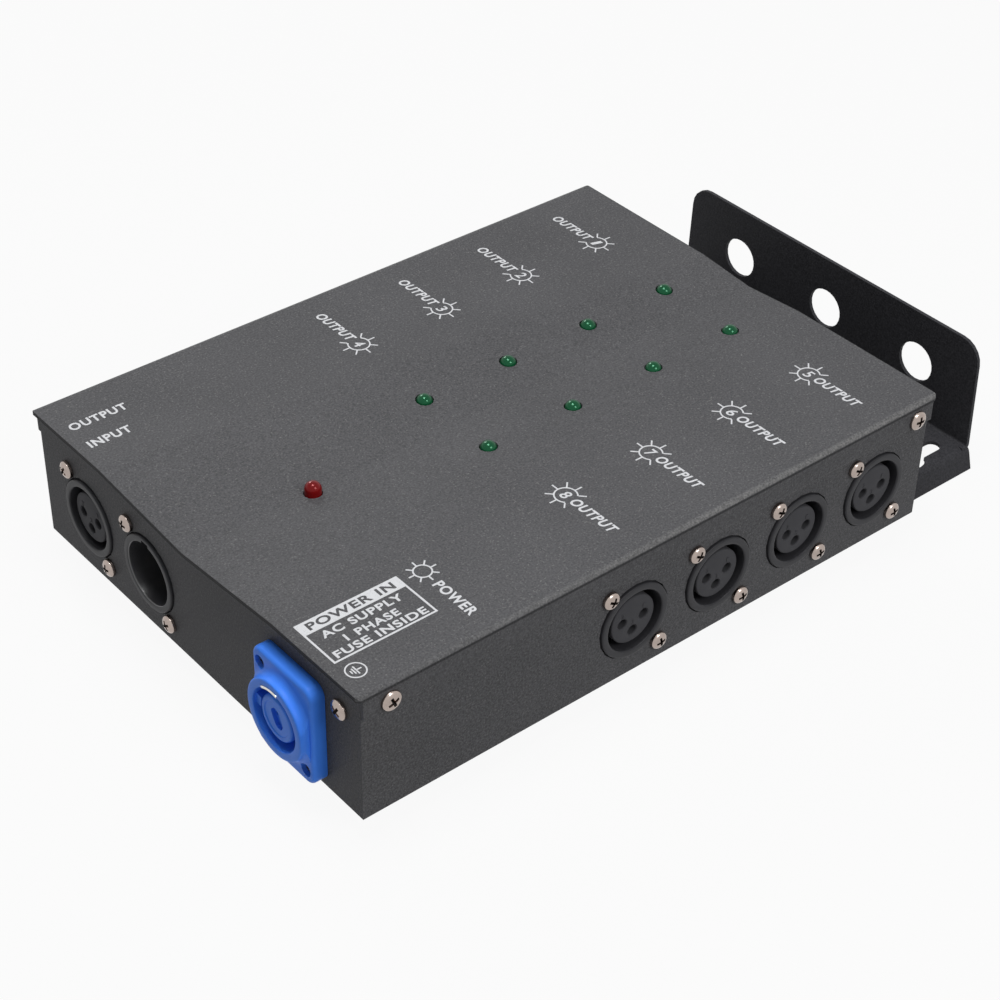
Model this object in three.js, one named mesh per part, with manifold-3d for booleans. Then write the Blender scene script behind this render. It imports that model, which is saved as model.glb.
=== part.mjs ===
// A splitter for stage lighting control lines: a flat folded-steel case with round three-pole sockets
// on three sides, a blue mains inlet, signal lamps in its lid and a hanging bracket at one end.
// Millimetres, +Z up. X runs along the case towards the bracket, and Y across it.
// The origin lies under the middle of the whole part, level with the undersides of its feet.
import * as THREE from "three";
import { mergeVertices } from "three/addons/utils/BufferGeometryUtils.js";
import Module from "manifold-3d";

const wasm = await Module();
wasm.setup();

// Clearances and the overrun of cutting shapes
const seam = 0.3;
const seatGap = 0.1;
const overrun = 1;

// The case: a steel tray and a folded lid with a valley that tapers along its middle
const caseLength = 207.6;
const caseWidth = 153.8;
const lidTop = 43.4;
const sheet = 1.2;
const lidOverhang = 1.8;
const lipCornerSides = 24;
const skirtDepth = 8;
const bendRadius = 1.6;
const bendSteps = 4;
const valleyFrontHalf = 41.5;
const valleyRearHalf = 21.3;
const valleySlopeShare = 0.082;

// Three-pole sockets: a ring in the panel, a screwed flange behind it and a barrel
const socketRing = 12.2;
const socketBore = 9.8;
const socketStand = 0.8;
const socketBarrel = 11.6;
const socketDepth = 20;
const socketBackWall = 2;
const socketTail = 6;
const socketSides = 20;
const flangeEdge = 3.5;
const flangeThick = 2;
const flangeCorner = 3;
const flangeScrewAcross = 9.5;
const flangeScrewUp = 12;
const flangeScrewHole = 1.7;
const screwHoleSides = 6;

// The contact insert of a female socket, and the pin block of the male one
const insertRadius = 7.8;
const insertSink = 1.1;
const insertFoot = 3.9;
const insertSides = 16;
const contactCircle = 3.9;
const contactHole = 1.6;
const contactDepth = 8;
const contactSides = 6;
const pinRadius = 1.2;
const pinSink = 8;
const pinTip = 0.8;
const pinFoot = 2;
const cupBore = 9.4;
const cupLedge = 3.3;
const tagWidth = 1.6;
const tagThick = 0.8;
const tagLength = 6;
const notchWidth = 3.2;
const notchDepth = 3;

// Places of the sockets: on each long side counted from the bracket end, on the front end from one side
const socketRise = 0.8;
const outputFromRear = 20.6;
const outputPitch = 31.6;
const outputsPerSide = 4;
const linkFromSide = 23.9;
const linkPitch = 31.5;

// The mains inlet: a flange and collar outside the panel, a keyed core and a curved latch plate
const inletFromSide = 28;
const inletEdge = 4.5;
const inletThick = 4.5;
const inletCorner = 3.5;
const inletCollar = 12.1;
const inletCollarStand = 7.4;
const inletCollarFoot = 13.6;
const inletBore = 9.4;
const inletBarrel = 11.3;
const inletDepth = 18;
const inletCore = 7;
const inletCoreSink = 0.8;
const inletCoreFoot = 3.6;
const inletKeyLong = 6.4;
const inletKeyWide = 3.6;
const inletKeyCorner = 1.7;
const inletKeyStep = 1.4;
const inletKeyWeb = 0.35;
const inletKeyDepth = 6;
const inletKeyTilt = 27;
const inletSides = 24;
const latchThick = 0.8;
const latchLength = 15;
const latchRadius = 10.1;
const latchStand = 0.2;
const latchFromDegrees = 78;
const latchToDegrees = 120;
const counterboreDepth = 1.9;

// Screws with a pan head and a cross recess
const inletScrew = { head: 1.9, tall: 1.1, shank: 1.25, long: 8 };
const caseScrew = { head: 3, tall: 1.7, shank: 1.5, long: 6 };
const bracketScrew = { head: 3.8, tall: 2.4, shank: 2, long: 6 };
const screwSides = 10;
const recessWidthShare = 0.3;
const recessLengthShare = 1.3;
const recessDepthShare = 0.55;
const lidScrewFromFront = 8.3;
const lidScrewFromRear = 6.6;
const lidScrewDrop = 5.4;
const earthFromSide = 8.5;
const earthDrop = 10.9;

// Signal lamps: round five-millimetre lamps on the main board, seen through holes in the lid
const lampRadius = 2.5;
const lampRim = 2.9;
const lampRimThick = 1;
const lampTall = 8.6;
const lampSides = 12;
const lampDomeSteps = 3;
const lampStand = 1.8;
const powerLampStand = 3.9;
const lampRowHalf = 14.7;
const lampRowShift = -0.6;
const lampColumnShift = -1.1;
const powerLampFromFront = 40.8;
const leadWidth = 0.5;
const leadPitch = 2.54;

// Boards inside the case, on hexagonal spacers
const boardThick = 1.6;
const boardMargin = 9;
const mainBoardEdge = 11.3;
const spacerInset = 4;
const spacerRadius = 2.8;
const spacerSides = 6;
const studRadius = 1.4;
const studLength = 3;
const powerBoardLength = 52;
const powerBoardRise = 4;
const powerBoardFromFront = 31;
const transformer = { long: 20, wide: 22, tall: 12 };
const capacitor = { radius: 4, tall: 10 };
const driverChip = { long: 10, wide: 6.4, tall: 3.4 };
const stackGap = 1.5;
const fuseRadius = 1.8;
const fuseLength = 10;
const fuseCap = 2.5;
const fuseRise = 1.2;
const clipWall = 0.8;
const clipLength = 2;

// The bracket: an upright plate with three holes, folded up from a foot that runs under the case.
// The foot has keyhole slots, and its two long edges are bent down and a little outwards.
const bracketThick = 1.2;
const bracketGap = 38.8;
const bracketTop = 37;
const bracketWidth = 127.2;
const bracketFootWidth = 129.4;
const bracketCorner = 7.5;
const bracketFold = 0.8;
const bracketEdgeDrop = 7.8;
const bracketEdgeSplay = 2.2;
const bracketEdgeBend = 3;
const bracketUnder = 22;
const bracketHole = 6.75;
const bracketHolePitch = 39.8;
const bracketHoleHeight = 19.2;
const bracketHoleSides = 24;
const keyholeFromMiddle = 57.7;
const keyholeHead = 5.2;
const keyholeNeck = 2.5;
const keyholeReach = 19.3;
const keyholeRun = 11.2;
const bracketScrewFromMiddle = 40;
const bracketScrewUnder = 12;
const cornerSteps = 5;

// Rubber feet, a little taller than the bracket's bent edges reach
const footHeight = 8.2;
const footTop = 6.5;
const footBottom = 5.5;
const footFromEnd = 32;
const footFromSide = 15;
const footSides = 16;

// Places that follow from the sizes
const halfLength = caseLength / 2;
const halfWidth = caseWidth / 2;
const lidHalf = halfWidth + seatGap + sheet;
const skirtBottom = lidTop - skirtDepth;
const wallTop = lidTop - bendRadius - seam;
const socketHeight = skirtBottom / 2 + socketRise;
const flangeHalfWide = flangeScrewAcross + flangeEdge;
const flangeHalfHigh = flangeScrewUp + flangeEdge;
const inletHalfHigh = flangeScrewUp + inletEdge;
const mainBoardHalf = lampRowHalf + mainBoardEdge;
const powerBoardHalf = mainBoardHalf - spacerInset - spacerRadius - stackGap;
const bracketX = halfLength + bracketGap;
const bracketBack = bracketX + bracketThick;
const quarterTurn = Math.PI / 2;
const halfTurn = Math.PI;

function finish(color, roughness, metalness) {
  return new THREE.MeshStandardMaterial({ color, roughness, metalness });
}

const paint = finish(0x5a5a5c, 0.6, 0.3);
const blackPaint = finish(0x141416, 0.45, 0.2);
const blackPlastic = finish(0x202022, 0.5, 0);
const insertPlastic = finish(0x2c2c30, 0.55, 0);
const bluePlastic = finish(0x2855af, 0.4, 0);
const brightSteel = finish(0xb8b4ac, 0.3, 0.9);
const greenLamp = finish(0x0f4b28, 0.15, 0);
const redLamp = finish(0x8c0f12, 0.15, 0);
const rubber = finish(0x1a1a1a, 0.9, 0);
const boardGreen = finish(0x1d5a34, 0.6, 0);
const brass = finish(0xb5985a, 0.35, 0.9);
const glass = finish(0xd8e0e0, 0.1, 0);

// Solids from three.js geometry: positions only, shared vertices merged, faces turned outwards
function solid(geometry) {
  const bare = new THREE.BufferGeometry();
  bare.setAttribute("position", geometry.getAttribute("position"));
  if (geometry.index) {
    bare.setIndex(geometry.index);
  }
  const merged = mergeVertices(bare);
  const made = manifoldOf(merged.attributes.position.array, Uint32Array.from(merged.index.array));
  if (made.volume() > 0) {
    return made;
  }
  const turned = Uint32Array.from(merged.index.array).reverse();
  return manifoldOf(merged.attributes.position.array, turned);
}

function manifoldOf(vertProperties, triVerts) {
  return new wasm.Manifold(new wasm.Mesh({ numProp: 3, vertProperties, triVerts }));
}

function block(x0, x1, y0, y1, z0, z1) {
  const shape = new THREE.BoxGeometry(x1 - x0, y1 - y0, z1 - z0);
  shape.translate((x0 + x1) / 2, (y0 + y1) / 2, (z0 + z1) / 2);
  return solid(shape);
}

function rod(radius, z0, z1, sides) {
  const shape = new THREE.CylinderGeometry(radius, radius, z1 - z0, sides);
  shape.rotateX(quarterTurn);
  shape.translate(0, 0, (z0 + z1) / 2);
  return solid(shape);
}

// A turned shape about Z from pairs of radius and height
function turned(profile, sides) {
  const points = profile.map(([radius, height]) => new THREE.Vector2(radius, height));
  const shape = new THREE.LatheGeometry(points, sides);
  shape.rotateX(quarterTurn);
  return solid(shape);
}

function plate(outline, z0, z1) {
  const shape = new THREE.ExtrudeGeometry(new THREE.Shape(outline), {
    depth: z1 - z0,
    bevelEnabled: false,
  });
  shape.translate(0, 0, z0);
  return solid(shape);
}

// A skin between two sections in the YZ plane with as many points each, at x0 and x1, closed by caps
function loft(section0, x0, section1, x1) {
  const count = section0.length;
  const positions = [];
  section0.forEach(([y, z]) => positions.push(x0, y, z));
  section1.forEach(([y, z]) => positions.push(x1, y, z));
  const caps = THREE.ShapeUtils.triangulateShape(
    section0.map(([y, z]) => new THREE.Vector2(y, z)),
    [],
  );
  const turnedRound = THREE.ShapeUtils.area(section0.map(([x, y]) => ({ x, y }))) < 0;
  const index = [];
  for (const [a, b, c] of caps) {
    index.push(...(turnedRound ? [a, b, c] : [a, c, b]));
    index.push(...(turnedRound ? [count + a, count + c, count + b] : [count + a, count + b, count + c]));
  }
  for (let i = 0; i < count; i++) {
    const j = (i + 1) % count;
    index.push(...(turnedRound ? [i, count + i, j] : [i, j, count + i]));
    index.push(...(turnedRound ? [j, count + i, count + j] : [j, count + j, count + i]));
  }
  const shape = new THREE.BufferGeometry();
  shape.setAttribute("position", new THREE.Float32BufferAttribute(positions, 3));
  shape.setIndex(index);
  return solid(shape);
}

function arc(centreX, centreY, radius, from, to, steps) {
  const points = [];
  for (let i = 0; i <= steps; i++) {
    const angle = from + ((to - from) * i) / steps;
    points.push([centreX + radius * Math.cos(angle), centreY + radius * Math.sin(angle)]);
  }
  return points;
}

function roundedOutline(halfX, halfY, corner) {
  const points = [
    ...arc(halfX - corner, halfY - corner, corner, 0, quarterTurn, cornerSteps),
    ...arc(corner - halfX, halfY - corner, corner, quarterTurn, halfTurn, cornerSteps),
    ...arc(corner - halfX, corner - halfY, corner, halfTurn, halfTurn + quarterTurn, cornerSteps),
    ...arc(halfX - corner, corner - halfY, corner, -quarterTurn, 0, cornerSteps),
  ];
  return points.map(([x, y]) => new THREE.Vector2(x, y));
}

// The other half of a section that is alike on both sides of the middle
function mirrored(points) {
  return points.slice().reverse().map(([y, z]) => [-y, z]);
}

function cutAll(body, tools) {
  return tools.reduce((left, tool) => left.subtract(tool), body);
}

function joinAll(pieces) {
  return pieces.reduce((all, piece) => all.add(piece));
}

// A panel's own frame has X to the right, Y up and Z out of the panel, seen from outside.
// turn is its turn about the vertical from the near long side.
const nearSide = { turn: 0, x: 0, y: -halfWidth };
const farSide = { turn: halfTurn, x: 0, y: halfWidth };
const frontEnd = { turn: -quarterTurn, x: -halfLength, y: 0 };

function panelMatrix(panel, along, height) {
  const matrix = new THREE.Matrix4().makeRotationZ(panel.turn);
  matrix.multiply(new THREE.Matrix4().makeRotationX(quarterTurn));
  const outX = Math.round(Math.cos(panel.turn));
  const outY = Math.round(Math.sin(panel.turn));
  matrix.setPosition(panel.x + outX * along, panel.y + outY * along, height);
  return matrix;
}

function onPanel(shape, panel, along, height) {
  return shape.transform(panelMatrix(panel, along, height).elements);
}

const outputSpots = [];
for (let i = 0; i < outputsPerSide; i++) {
  const x = halfLength - outputFromRear - i * outputPitch;
  outputSpots.push({ number: i + 1, panel: farSide, along: -x, x, rowSign: 1 });
  outputSpots.push({ number: i + 1 + outputsPerSide, panel: nearSide, along: x, x, rowSign: -1 });
}
const linkSpot = { panel: frontEnd, along: linkFromSide - halfWidth };
const inputSpot = { panel: frontEnd, along: linkSpot.along + linkPitch };
const inletSpot = { panel: frontEnd, along: halfWidth - inletFromSide };
const earthSpot = { panel: frontEnd, along: halfWidth - earthFromSide, height: lidTop - earthDrop };
const lidScrewSpots = [];
for (const x of [lidScrewFromFront - halfLength, halfLength - lidScrewFromRear]) {
  lidScrewSpots.push({ panel: nearSide, along: x, height: lidTop - lidScrewDrop });
  lidScrewSpots.push({ panel: farSide, along: -x, height: lidTop - lidScrewDrop });
}

const bracketScrewSpots = [-1, 1].map((side) => ({
  x: halfLength - bracketScrewUnder,
  y: side * bracketScrewFromMiddle,
}));

// The signal lamps stand over the sockets' columns, in a row on each slope of the valley
const lampSpots = outputSpots.map((spot) => {
  const x = spot.x + lampColumnShift;
  const y = lampRowShift + spot.rowSign * lampRowHalf;
  return { name: `output_${spot.number}_lamp`, x, y, stand: lampStand, material: greenLamp };
});
const powerLampX = powerLampFromFront - halfLength;
lampSpots.push({
  name: "power_lamp",
  x: powerLampX,
  y: lampRowShift,
  stand: powerLampStand,
  material: redLamp,
});

function flangeScrewHoles() {
  return [-1, 1].map((side) =>
    rod(flangeScrewHole, -socketDepth, socketDepth, screwHoleSides).translate(
      side * flangeScrewAcross,
      -side * flangeScrewUp,
      0,
    ),
  );
}

// The valley's half width at a place along the case, and the height of the lid's top there
function valleyHalf(x) {
  const alongShare = (x + halfLength) / caseLength;
  return valleyFrontHalf + (valleyRearHalf - valleyFrontHalf) * alongShare;
}

function lidHeight(x, y) {
  return lidTop - Math.max(0, valleyHalf(x) - Math.abs(y)) * valleySlopeShare;
}

function lidSection(x) {
  const fold = valleyHalf(x);
  const side = [
    [lidHalf, skirtBottom],
    ...arc(lidHalf - bendRadius, lidTop - bendRadius, bendRadius, 0, quarterTurn, bendSteps),
    [fold, lidTop],
  ];
  const inside = [
    [lidHalf - sheet, skirtBottom],
    ...arc(lidHalf - bendRadius, lidTop - bendRadius, bendRadius - sheet, 0, quarterTurn, bendSteps),
    [fold, lidTop - sheet],
  ];
  const floor = lidHeight(x, 0);
  const outer = [...side, [0, floor], ...mirrored(side)];
  const inner = [...inside, [0, floor - sheet], ...mirrored(inside)];
  return [...outer, ...inner.reverse()];
}

// Everything above the lid's underside, cut off the tray's end walls
function lidSpace(x) {
  const fold = valleyHalf(x);
  const under = sheet + seam;
  const edge = lidHalf + overrun;
  return [
    [edge, lidTop - under],
    [edge, lidTop + overrun],
    [-edge, lidTop + overrun],
    [-edge, lidTop - under],
    [-fold, lidTop - under],
    [0, lidHeight(x, 0) - under],
    [fold, lidTop - under],
  ];
}

function makeTray() {
  const shell = block(-halfLength, halfLength, -halfWidth, halfWidth, 0, lidTop);
  const inX = halfLength - sheet;
  const inY = halfWidth - sheet;
  const inside = block(-inX, inX, -inY, inY, sheet, lidTop + overrun);
  const endX = halfLength + overrun;
  const cuts = [inside, loft(lidSpace(-endX), -endX, lidSpace(endX), endX)];
  for (const side of [-1, 1]) {
    const strip = block(-endX, endX, inY, halfWidth + overrun, wallTop, lidTop + overrun);
    cuts.push(side > 0 ? strip : strip.mirror([0, 1, 0]));
  }
  for (const spot of [...outputSpots, linkSpot, inputSpot]) {
    const hole = rod(socketRing + seam, -socketDepth, socketDepth, socketSides);
    cuts.push(onPanel(joinAll([hole, ...flangeScrewHoles()]), spot.panel, spot.along, socketHeight));
  }
  const inletHole = rod(inletBarrel + seam, -socketDepth, socketDepth, inletSides);
  const inletCuts = joinAll([inletHole, ...flangeScrewHoles()]);
  cuts.push(onPanel(inletCuts, inletSpot.panel, inletSpot.along, socketHeight));
  for (const spot of [...lidScrewSpots, earthSpot]) {
    const hole = rod(caseScrew.shank + seam, -caseScrew.long, caseScrew.long, screwHoleSides);
    cuts.push(onPanel(hole, spot.panel, spot.along, spot.height));
  }
  for (const spot of bracketScrewSpots) {
    const hole = rod(bracketScrew.shank + seam, -overrun, sheet + overrun, screwHoleSides);
    cuts.push(hole.translate(spot.x, spot.y, 0));
  }
  return cutAll(shell, cuts);
}

function makeLid() {
  const endX = halfLength + lidOverhang;
  const folded = loft(lidSection(-endX), -endX, lidSection(endX), endX);
  const cuts = [];
  // Past the tray's ends the lip goes on without the skirts, and its corners are round
  const lipCorner = rod(lidOverhang, lidTop - bendRadius, lidTop + overrun, lipCornerSides).translate(
    halfLength,
    lidHalf - lidOverhang,
    0,
  );
  const cornerStart = lidHalf - lidOverhang;
  const trim = block(halfLength, endX + overrun, cornerStart, lidHalf + overrun, 0, lidTop + overrun)
    .subtract(lipCorner);
  for (const corner of [trim, trim.mirror([0, 1, 0])]) {
    cuts.push(corner, corner.mirror([1, 0, 0]));
  }
  for (const spot of lampSpots) {
    const hole = rod(lampRadius + seam, 0, lidTop + overrun, lampSides);
    cuts.push(hole.translate(spot.x, spot.y, 0));
  }
  for (const spot of lidScrewSpots) {
    const hole = rod(caseScrew.shank + seam, -caseScrew.long, caseScrew.long, screwHoleSides);
    cuts.push(onPanel(hole, spot.panel, spot.along, spot.height));
  }
  return cutAll(folded, cuts);
}

const powerBoardZ = sheet + powerBoardRise;
const mainBoardZ = powerBoardZ + boardThick + transformer.tall + stackGap;

function makeLamp(spot) {
  const dome = arc(0, lampTall - lampRadius, lampRadius, 0, quarterTurn, lampDomeSteps).slice(0, -1);
  const lamp = turned(
    [[0, 0], [lampRim, 0], [lampRim, lampRimThick], [lampRadius, lampRimThick], ...dome, [0, lampTall]],
    lampSides,
  );
  const base = lidHeight(spot.x, spot.y) + spot.stand - lampTall;
  const boardTop = mainBoardZ + boardThick;
  const leads = [-1, 1].map((side) => {
    const middle = (side * leadPitch) / 2;
    const half = leadWidth / 2;
    return block(middle - half, middle + half, -half, half, boardTop - base, lampRimThick);
  });
  return joinAll([lamp, ...leads]).translate(spot.x, spot.y, base);
}

function flangePlate(z0, z1) {
  return plate(roundedOutline(flangeHalfWide, flangeHalfHigh, flangeCorner), z0, z1);
}

// A male socket is a deep cup with a ledge near its mouth and a notch at its top
function makeSocketShell(isCup) {
  const back = -sheet - seatGap;
  const floor = socketBackWall - socketDepth;
  const ledge = socketStand - cupLedge;
  const cup = [
    [cupBore, floor],
    [cupBore, ledge],
    [socketBore, ledge],
  ];
  const barrel = turned(
    [
      [socketBore, socketStand],
      [socketRing, socketStand],
      [socketRing, back],
      [socketBarrel, back - flangeThick],
      [socketBarrel, -socketDepth],
      [socketTail, -socketDepth],
      [socketTail, floor],
      ...(isCup ? cup : [[socketBore, floor]]),
      [socketBore, socketStand],
    ],
    socketSides,
  );
  const clear = rod((socketBore + socketBarrel) / 2, back - flangeThick - overrun, overrun, socketSides);
  const flange = cutAll(flangePlate(back - flangeThick, back), [clear, ...flangeScrewHoles()]);
  const shell = barrel.add(flange);
  if (!isCup) {
    return shell;
  }
  const notchTop = (socketBore + socketRing) / 2;
  const half = notchWidth / 2;
  return shell.subtract(block(-half, half, 0, notchTop, -notchDepth, socketStand + overrun));
}

// Where the three contacts lie, seen from outside: right, left and below
const contactSpotsShare = [[1, 0], [-1, 0], [0, -1]];
const insertBack = seatGap + socketBackWall - socketDepth;

function contactTags(back) {
  return contactSpotsShare.map(([across, up]) => {
    const x = across * contactCircle;
    const y = up * contactCircle;
    const halfWide = tagWidth / 2;
    const halfThick = tagThick / 2;
    const end = back - tagLength;
    return block(x - halfWide, x + halfWide, y - halfThick, y + halfThick, end, back + overrun);
  });
}

function makeInsert() {
  const face = socketStand - insertSink;
  const foot = insertBack + insertFoot;
  const body = turned(
    [
      [0, face],
      [insertRadius, face],
      [insertRadius, foot],
      [socketBore - seam, foot],
      [socketBore - seam, insertBack],
      [0, insertBack],
    ],
    insertSides,
  );
  const holes = contactSpotsShare.map(([across, up]) =>
    rod(contactHole, face - contactDepth, face + overrun, contactSides).translate(
      across * contactCircle,
      up * contactCircle,
      0,
    ),
  );
  return joinAll([cutAll(body, holes), ...contactTags(insertBack)]);
}

function makePinBlock() {
  const foot = insertBack + pinFoot;
  const tip = socketStand - pinSink;
  const disc = rod(cupBore - seam, insertBack, foot, insertSides);
  const pins = contactSpotsShare.map(([across, up]) =>
    turned(
      [[0, foot - overrun], [pinRadius, foot - overrun], [pinRadius, tip - pinTip], [0, tip]],
      screwHoleSides,
    ).translate(-across * contactCircle, up * contactCircle, 0),
  );
  return joinAll([disc, ...pins, ...contactTags(insertBack)]);
}

function makeInletBody() {
  const outline = roundedOutline(flangeHalfWide, inletHalfHigh, inletCorner);
  const flange = plate(outline, seatGap, inletThick);
  const slopeFoot = (inletCollar + inletCollarFoot) / 2;
  const slopeTop = (inletThick + inletCollarStand) / 2;
  const slopeLow = (inletThick + slopeTop) / 2;
  const collar = turned(
    [
      [0, -inletDepth],
      [inletBarrel, -inletDepth],
      [inletBarrel, seatGap],
      [inletCollarFoot, seatGap],
      [inletCollarFoot, inletThick],
      [slopeFoot, slopeLow],
      [inletCollar, slopeTop],
      [inletCollar, inletCollarStand],
      [0, inletCollarStand],
    ],
    inletSides,
  );
  const trimmed = collar.intersect(plate(outline, -inletDepth - overrun, inletCollarStand + overrun));
  const floor = socketBackWall - inletDepth;
  const bore = rod(inletBore, floor, inletCollarStand + overrun, inletSides);
  const tail = rod(socketTail, -inletDepth - overrun, floor + overrun, socketSides);
  const pocket = latchPlate(seam, inletCollarStand + overrun);
  const recesses = [-1, 1].map((side) =>
    rod(inletScrew.head + seam, inletThick - counterboreDepth, inletCollarStand, screwSides).translate(
      side * flangeScrewAcross,
      -side * flangeScrewUp,
      0,
    ),
  );
  return cutAll(flange.add(trimmed), [bore, tail, pocket, ...recesses, ...flangeScrewHoles()]);
}

// The latch plate is curved and lies along the top of the inlet's bore; margin widens it into its pocket
function latchPlate(margin, front) {
  const spread = margin / latchRadius;
  const from = THREE.MathUtils.degToRad(latchFromDegrees) - spread;
  const to = THREE.MathUtils.degToRad(latchToDegrees) + spread;
  const outer = arc(0, 0, latchRadius + margin, from, to, cornerSteps);
  const inner = arc(0, 0, latchRadius - latchThick - margin, to, from, cornerSteps);
  const outline = [...outer, ...inner].map(([x, y]) => new THREE.Vector2(x, y));
  return plate(outline, inletCollarStand - latchLength - margin, front);
}

function makeInletCore() {
  const face = inletCollarStand - inletCoreSink;
  const back = seatGap + socketBackWall - inletDepth;
  const foot = back + inletCoreFoot;
  const core = turned(
    [
      [0, face],
      [inletCore, face],
      [inletCore, foot],
      [inletBore - seam, foot],
      [inletBore - seam, back],
      [0, back],
    ],
    inletSides,
  );
  // A rounded keyway, with two deep wells in its floor
  const half = inletKeyWide / 2;
  const reach = inletKeyLong / 2;
  const mouth = plate(roundedOutline(half, reach, inletKeyCorner), face - inletKeyStep, face + overrun);
  const wellHalf = half - inletKeyWeb;
  const wellReach = reach - inletKeyCorner;
  const keyFloor = face - inletKeyDepth;
  const wells = [
    block(-wellHalf, 0, inletKeyWeb, wellReach, keyFloor, face),
    block(-inletKeyWeb, wellHalf, -wellReach, -inletKeyWeb, keyFloor, face),
  ];
  const keyway = joinAll([mouth, ...wells]).rotate([0, 0, inletKeyTilt]);
  return joinAll([cutAll(core, [keyway]), ...contactTags(back)]);
}

function makeScrew(size) {
  const shoulderShare = 0.55;
  const rimShare = 0.92;
  const rimHeightShare = 0.55;
  const screw = turned(
    [
      [0, -size.long],
      [size.shank, -size.long],
      [size.shank, seatGap],
      [size.head, seatGap],
      [size.head * rimShare, size.tall * rimHeightShare],
      [size.head * shoulderShare, size.tall],
      [0, size.tall],
    ],
    screwSides,
  );
  const half = (size.head * recessWidthShare) / 2;
  const reach = (size.head * recessLengthShare) / 2;
  const floor = size.tall * (1 - recessDepthShare);
  const top = size.tall + overrun;
  const slot = block(-half, half, -reach, reach, floor, top);
  return cutAll(screw, [slot, slot.rotate([0, 0, 90])]);
}

function keyhole(y) {
  const headX = bracketX - keyholeReach;
  const endX = headX + keyholeRun;
  const floor = -bracketThick - overrun;
  const head = rod(keyholeHead, floor, overrun, socketSides).translate(headX, y, 0);
  const end = rod(keyholeNeck, floor, overrun, socketSides).translate(endX, y, 0);
  return joinAll([head, end, block(headX, endX, y - keyholeNeck, y + keyholeNeck, floor, overrun)]);
}

// The upright's outline in Y and Z: a little wider at its foot, with rounded upper corners
function uprightOutline() {
  const footHalf = bracketFootWidth / 2;
  const cornerY = bracketWidth / 2 - bracketCorner;
  const corner = arc(cornerY, bracketTop - bracketCorner, bracketCorner, 0, quarterTurn, cornerSteps);
  const side = [[footHalf, -bracketThick - overrun], [footHalf, 0], ...corner];
  return [...side, ...mirrored(side)];
}

// The upright and the fold at its foot, drawn in X and Z and cut to its outline
function makeUpright() {
  const foldX = bracketX - bracketFold;
  const section = [
    [foldX - overrun, -bracketThick],
    [foldX - overrun, 0],
    ...arc(foldX, bracketFold, bracketFold, -quarterTurn, 0, bendSteps),
    [bracketX, bracketTop],
    [bracketBack, bracketTop],
    ...arc(foldX, bracketFold, bracketFold + bracketThick, 0, -quarterTurn, bendSteps),
  ];
  const reach = bracketFootWidth / 2;
  const folded = plate(section.map(([x, z]) => new THREE.Vector2(x, z)), -reach, reach);
  const outline = uprightOutline();
  const space = loft(outline, foldX - bracketThick - overrun, outline, bracketBack + overrun);
  return folded.rotate([90, 0, 0]).intersect(space);
}

// The foot's section in Y and Z: flat under the case, with both edges bent down and outwards
function footSection() {
  const lean = Math.atan2(bracketEdgeSplay, bracketEdgeDrop);
  const half = bracketFootWidth / 2;
  const bendY = half - (bracketEdgeBend * (1 - Math.sin(lean))) / Math.cos(lean);
  const lowY = half + bracketEdgeSplay;
  const insideBend = bracketEdgeBend - bracketThick;
  const outside = [
    [lowY, -bracketEdgeDrop],
    ...arc(bendY, -bracketEdgeBend, bracketEdgeBend, lean, quarterTurn, cornerSteps),
  ];
  const inside = [
    [lowY - bracketThick / Math.cos(lean), -bracketEdgeDrop],
    ...arc(bendY, -bracketEdgeBend, insideBend, lean, quarterTurn, cornerSteps),
  ];
  return [...outside, ...mirrored(outside), ...[...inside, ...mirrored(inside)].reverse()];
}

function makeBracket() {
  const section = footSection();
  const foot = loft(section, halfLength - bracketUnder, section, bracketBack);
  const flatHalf = bracketFootWidth / 2 - bracketEdgeBend;
  const foldX = bracketX - bracketFold;
  const endX = bracketBack + overrun;
  const foldSpace = block(foldX, endX, -flatHalf, flatHalf, -bracketThick - overrun, overrun);
  const folded = foot.subtract(foldSpace).add(makeUpright());
  const cuts = [-1, 0, 1].map((place) => {
    const hole = rod(bracketHole, -overrun, bracketThick + overrun, bracketHoleSides);
    const turnedHole = hole.rotate([0, 90, 0]);
    return turnedHole.translate(bracketX, place * bracketHolePitch, bracketHoleHeight);
  });
  for (const side of [-1, 1]) {
    cuts.push(keyhole(side * keyholeFromMiddle));
  }
  for (const spot of bracketScrewSpots) {
    const hole = rod(bracketScrew.shank + seam, -bracketThick - overrun, overrun, screwHoleSides);
    cuts.push(hole.translate(spot.x, spot.y, 0));
  }
  return cutAll(folded, cuts);
}

function makeSpacer(spot, height, x, y) {
  const body = rod(spacerRadius, 0, height, spacerSides);
  const stud = rod(studRadius, 0, height + studLength, screwHoleSides);
  return body.add(stud).translate(x, y, spot);
}

function cornersOf(x0, x1, half) {
  return [x0 + spacerInset, x1 - spacerInset].flatMap((x) => [
    [x, -half + spacerInset],
    [x, half - spacerInset],
  ]);
}

const lampXs = lampSpots.map((spot) => spot.x);
const mainBoardEnds = [Math.min(...lampXs) - boardMargin, Math.max(...lampXs) + boardMargin];
const mainBoardCorners = cornersOf(...mainBoardEnds, mainBoardHalf);
const powerBoardStart = powerBoardFromFront - halfLength;
const powerBoardEnd = powerBoardStart + powerBoardLength;
const powerBoardCorners = cornersOf(powerBoardStart, powerBoardEnd, powerBoardHalf);

function boardHoles(corners, z) {
  return corners.map(([x, y]) =>
    rod(studRadius + seam, z - overrun, z + boardThick + overrun, screwHoleSides).translate(x, y, 0),
  );
}

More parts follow.
